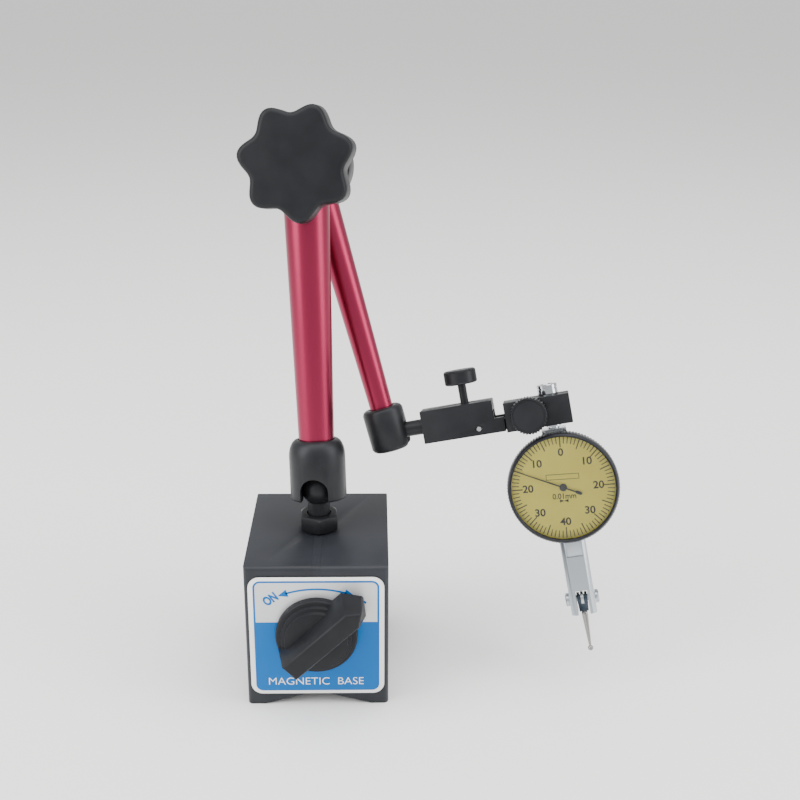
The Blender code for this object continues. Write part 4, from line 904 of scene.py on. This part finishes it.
saws = [
    bezel_room,
    drum_room,
    block("fork_slot", (-0.00215, -0.006, -0.049), (0.00215, 0.006, -0.0389)),
    block("lever_tunnel", (-0.001, -0.0029, -0.040), (0.001, 0.0029, -0.012)),
    block("neck_recess", (-0.0028, -0.006, -0.0263), (0.0028, -0.0038, -0.015)),
    pin("pivot_hole", 0.0015, -0.006, 0.006, Matrix.Translation((0, 0, -0.0425)) @ along_x),
]
cut_away(neck_piece, *saws)
cut_away(rail, bezel_room, drum_room)
sweep_up(*saws)
settle(neck_piece, indicator, satin_chrome, "indicator", ["indicator_case"], 0.00015)
settle(rail, indicator, satin_chrome, "indicator", ["indicator_case"])
cover = turn_on_lathe(
    "back_cover_turned",
    [
        (0.0142, -0.0040),
        (0.0142, -0.0048),
        (0.0165, -0.0048),
        (0.0165, -0.0053),
        (0.0161, -0.0057),
        (0.0156, -0.0058),
        (0.0120, -0.0058),
        (0.0118, -0.0056),
        (0.0110, -0.0056),
        (0.0108, -0.0058),
        (0.0004, -0.0058),
    ],
)
settle(cover, dial_plane, satin_chrome, "indicator", ["back_cover"])
for word, side in (("left", -1), ("right", 1)):
    pivot = turn_on_lathe(
        f"pivot_screw_{word}_turned",
        [
            (0.0012, 0.00015),
            (0.0012, 0.00475),
            (0.0024, 0.00475),
            (0.0024, 0.0057),
            (0.0020, 0.00605),
            (0.0004, 0.00605),
        ],
        sides=48,
    )
    slot_saw = block("screw_slot", (-0.003, -0.00022, 0.0056), (0.003, 0.00022, 0.007))
    cut_away(pivot, slot_saw)
    sweep_up(slot_saw)
    turn = Matrix.Rotation(side * math.pi / 2, 4, "Y") @ Matrix.Rotation(0.7, 4, "Z")
    place = indicator @ Matrix.Translation((0, 0, -0.0425)) @ turn
    settle(pivot, place, satin_chrome, "indicator", [f"pivot_screw_{word}"])
dress(brass, "movement_plate")


# Bezel, crystal and dial
# A knurled aluminium bezel, anodised slate grey, carries the acrylic crystal and the yellow
# dial, so that the scale turns with it. Marks and figures are printed in black.

# Slate anodising: a tinted metal with a satin edge where the knurl catches the light.
slate = new_material("slate_anodised_aluminium", "303135", 0.36, 0.7)
grain(slate, 0.0003, 0.000006, 0.32, 0.42)
teeth = 110
bezel = turn_on_lathe(
    "bezel_knurled",
    [
        (0.0180, 0.0032),
        (0.0196, 0.0032),
        (0.0200, 0.0036),
        (0.0200, 0.0093),
        (0.0197, 0.0099),
        (0.0195, 0.0105),
        (0.0191, 0.0110),
        (0.0188, 0.0110),
        (0.0184, 0.0104),
        (0.0184, 0.0099),
        (0.0190, 0.0099),
        (0.0190, 0.0067),
        (0.0180, 0.0067),
    ],
    sides=teeth * 2,
    bored=True,
)
knurl(bezel, teeth * 2, 0.02, (0.0036, 0.0093, 0.0199))
settle(bezel, dial_plane, slate, "bezel", ["bezel_ring"], 0, 28)

# Cast acrylic: clear, polished, with a mirror only near the edge of sight.
acrylic = bpy.data.materials.new("clear_acrylic")
acrylic.use_nodes = True
through = add_node(acrylic, "ShaderNodeBsdfTransparent")
shine = add_node(acrylic, "ShaderNodeBsdfGlossy", {"Roughness": 0.03})
edge_on = add_node(acrylic, "ShaderNodeFresnel", {"IOR": 1.49})
lens = add_node(
    acrylic,
    "ShaderNodeMixShader",
    links={"Fac": edge_on.outputs[0], 1: through.outputs[0], 2: shine.outputs[0]},
)
acrylic_output = acrylic.node_tree.nodes["Material Output"]
acrylic.node_tree.links.new(lens.outputs[0], acrylic_output.inputs["Surface"])
crystal = turn_on_lathe(
    "crystal_polished",
    [
        (0.0187, 0.0089),
        (0.0187, 0.0096),
        (0.0160, 0.00976),
        (0.0120, 0.00988),
        (0.0060, 0.00998),
        (0.0004, 0.0100),
    ],
)
settle(crystal, dial_plane, acrylic, "bezel", ["crystal"])

# Printed dial sheet: flat yellow paint with the faintest unevenness.
yellow = new_material("yellow_dial_paint", "F8EB5C", 0.55)
tint(yellow, grain(yellow, 0.0005, 0.000004, 0.5, 0.6)[2], ("F6E858", "FBEE62"))
dial_sheet = turn_on_lathe(
    "dial_sheet", [(0.00105, 0.0071), (0.0187, 0.0071), (0.0187, 0.0076), (0.00105, 0.0076)], bored=True
)
settle(dial_sheet, dial_plane, yellow, "bezel", ["dial_face"])

# Screen ink on the dial: dull black that lets a little of the yellow through.
dial_ink = new_material("black_dial_ink", "1C1A12", 0.6)
grain(dial_ink, 0.0004, 0.000003, 0.55, 0.65)
dial_front = 0.0076
dial_turned = dial_plane @ Matrix.Rotation(math.radians(-5), 4, "Z")
rim_radius = 0.0182
for name, length, width, steps in (("short", 0.0025, 0.0003, 80), ("long", 0.0038, 0.00038, 16)):
    mark = block(
        f"dial_{name}_marks",
        (-width / 2, rim_radius - length, dial_front),
        (width / 2, rim_radius, dial_front + (ink if name == "short" else ink * 1.3)),
    )
    choose(mark, "VERT", lambda middle: True)
    turn_all = 2 * math.pi * (steps - 1) / steps
    bpy.ops.mesh.spin(steps=steps - 1, dupli=True, angle=turn_all, center=(0, 0, 0), axis=(0, 0, 1))
    leave_edit()
    settle(mark, dial_turned, dial_ink, "bezel", smooth=20)

figure_radius = 0.0125
for step, figure in enumerate(("0", "10", "20", "30", "40", "30", "20", "10")):
    angle = math.radians(45 * step)
    at = (figure_radius * math.sin(angle), figure_radius * math.cos(angle), dial_front + ink / 2)
    number = lettering(f"dial_figure_{step}", figure, 0.0027, at, 0, ink, 1.05, 0.00009)
    settle(number, dial_turned, dial_ink, "bezel", smooth=20)
reading_at = (0.0002, -0.0033, dial_front + ink / 2)
reading = lettering("dial_division_value", "0.01mm", 0.002, reading_at, 0, ink, 0.95, 0.00005)
settle(reading, dial_turned, dial_ink, "bezel", smooth=20)
for side in (-1, 1):
    bpy.ops.object.select_all(action="DESELECT")
    bpy.ops.mesh.primitive_cylinder_add(vertices=3, radius=0.0008, depth=ink, location=(0, 0, ink / 2))
    wedge = bpy.context.object
    wedge.name = f"dial_wedge_{'left' if side < 0 else 'right'}"
    wedge.scale = (0.85, 1.3, 1)
    bpy.ops.object.transform_apply(location=True, rotation=True, scale=True)
    point_in = Matrix.Rotation(math.radians(90 * side), 4, "Z")
    place = dial_turned @ Matrix.Translation((side * 0.001, -0.0049, dial_front)) @ point_in
    settle(wedge, place, dial_ink, "bezel")
for name, side, low, high in (("outer", 0.00585, 0.0028, 0.0048), ("inner", 0.00566, 0.00299, 0.00461)):
    depth = ink if name == "outer" else ink * 1.4
    box_piece = block(
        f"dial_box_{name}", (-side, low, dial_front), (side, high, dial_front + depth)
    )
    ink_or_paint = dial_ink if name == "outer" else yellow
    settle(box_piece, dial_turned, ink_or_paint, "bezel")


# Pointer
# Stamped from thin sheet and lacquered black, with a weighted tail, on a hub pressed over
# the pointer arbor. The hairspring behind the dial takes up the play.

# Black lacquer: even and slightly glossy.
lacquer = new_material("black_lacquer", "1E1F22", 0.35)
grain(lacquer, 0.0003, 0.000003, 0.3, 0.4)
needle_low, needle_high = 0.0082, 0.00845
needle = block("pointer_blade", (-0.00024, 0.0010, needle_low), (0.00024, 0.0182, needle_high))
choose(needle, "VERT", lambda middle: near(middle.y, 0.0182))
bpy.ops.transform.resize(value=(0.5, 1, 1), center_override=(0, 0, 0))
leave_edit()
tail_piece = block("pointer_tail", (-0.00023, -0.0044, needle_low), (0.00023, -0.0010, needle_high))
choose(tail_piece, "FACE", lambda middle: near(middle.y, -0.0044))
for drop, ratio in ((0.0006, 2.3), (0.0010, 1.12), (0.0006, 0.9), (0.0004, 0.55)):
    bpy.ops.mesh.extrude_region_move(TRANSFORM_OT_translate={"value": (0, -drop, 0)})
    bpy.ops.transform.resize(value=(ratio, 1, 1), center_override=(0, 0, 0))
leave_edit()
hub = turn_on_lathe(
    "pointer_hub",
    [(0.00135, 0.0080), (0.00135, 0.0085), (0.00125, 0.0086), (0.0007, 0.00865), (0.0002, 0.00865)],
    sides=48,
)
pointer_turned = dial_plane @ Matrix.Rotation(math.radians(62.4), 4, "Z")
for part in (needle, tail_piece, hub):
    settle(part, pointer_turned, lacquer, "needle", ["pointer"])
dress(bright_steel, "pointer_arbor")
dress(brass, "hairspring", "crown_gear")


# Stylus
# A forked steel holder on the pivot screws, with friction to set its angle. The tapered
# stylus and its polished ball are screwed into the end.

dress(bright_steel, "sector_lever")
stylus = stand(joint("stylus_set")["pos_m"], stem_turn["axis"], holder_roll["axis"])
# Blued spring steel: dark slate with a clear metal sheen.
blued = new_material("blued_steel", "39424C", 0.34, 0.75)
grain(blued, 0.0003, 0.000006, 0.3, 0.4)
# Hardened steel, polished: a warmer and darker grey than the chrome round it.
polished = new_material("polished_hard_steel", "8E8C89", 0.22, 1.0)
grain(polished, 0.0003, 0.000003, 0.18, 0.26)
fork = pin("stylus_fork", 0.0022, -0.00185, 0.00185, along_x, 64)
shank_block = block("stylus_shank", (-0.00185, -0.0022, -0.0047), (0.00185, 0.0022, 0.0))
choose(shank_block, "VERT", lambda middle: near(middle.z, -0.0047))
bpy.ops.transform.resize(value=(0.9, 0.59, 1), center_override=(0, 0, 0))
leave_edit()
take(fork)
union = fork.modifiers.new("shank", "BOOLEAN")
union.operation = "UNION"
union.object = shank_block
bpy.ops.object.modifier_apply(modifier=union.name)
saws = [
    shank_block,
    block("yoke_slot", (-0.0009, -0.0014, -0.0032), (0.0009, 0.003, 0.004)),
    pin("yoke_hole", 0.0015, -0.003, 0.003, along_x),
    pin("stylus_hole", 0.0009, -0.006, -0.003),
]
cut_away(fork, *saws[1:])
sweep_up(*saws)
settle(fork, stylus, blued, "stylus", ["stylus_holder"], 0.00015)
tip_level = -0.0189
contact = turn_on_lathe(
    "stylus_polished",
    [
        (0.0006, -0.0040),
        (0.0006, -0.0050),
        (0.0010, -0.0050),
        (0.0011, -0.0052),
        (0.0011, -0.0062),
        (0.00045, tip_level + 0.00089),
        *[(r, tip_level - z) for r, z in ball(0.001, -0.00089, 0.000995)[1:]],
    ],
    sides=48,
)
settle(contact, stylus, polished, "stylus", ["stylus_tip"])


# Studio
# A pale floor that runs out of sight, soft light from large panels on both sides and above,
# and the camera.

bpy.ops.object.select_all(action="DESELECT")
bpy.ops.mesh.primitive_plane_add(size=60, location=(0, 0, -0.00005))
floor = bpy.context.object
floor.name = "studio_floor"
# Matt white paper: nothing but a soft shadow shows on it.
paper = new_material("matt_white_paper", "F4F4F3", 0.9)
floor.data.materials.append(paper)


def panel(name, at, size, power, colour="FFFFFF"):
    """A soft rectangular light that faces the object."""
    bpy.ops.object.light_add(type="AREA", location=at)
    light = bpy.context.object
    light.name = name
    light.data.shape = "RECTANGLE"
    light.data.size, light.data.size_y = size
    light.data.energy = power
    light.data.color = linear(colour)[:3]
    aim = Vector((0, 0, 0.09)) - Vector(at)
    light.rotation_euler = aim.to_track_quat("-Z", "Y").to_euler()


panel("panel_left", (-0.75, -0.35, 0.55), (0.5, 0.9), 9.5)
panel("panel_right", (0.8, -0.25, 0.5), (0.45, 0.9), 7.0)
panel("panel_above", (0.05, -0.1, 1.1), (1.1, 1.1), 12.0)

world = bpy.data.worlds.new("studio")
world.use_nodes = True
world.node_tree.nodes["Background"].inputs["Color"].default_value = linear("FFFFFF")
world.node_tree.nodes["Background"].inputs["Strength"].default_value = 1.0
bpy.context.scene.world = world

yaw, pitch, roll = 0.0229, 0.3675, -0.0068
forward = Vector((math.sin(yaw) * math.cos(pitch), math.cos(yaw) * math.cos(pitch), -math.sin(pitch)))
level = Vector((math.cos(yaw), -math.sin(yaw), 0))
down = forward.cross(level)
right = level * math.cos(roll) + down * math.sin(roll)
below = down * math.cos(roll) - level * math.sin(roll)
bpy.ops.object.camera_add()
camera = bpy.context.object
view = Matrix((right, -below, -forward)).transposed().to_4x4()
view.translation = (-0.02076, -0.39737, 0.25706)
camera.matrix_world = view
camera.data.sensor_width = 36
camera.data.lens = 54.35
camera.data.clip_start = 0.01
bpy.context.scene.camera = camera
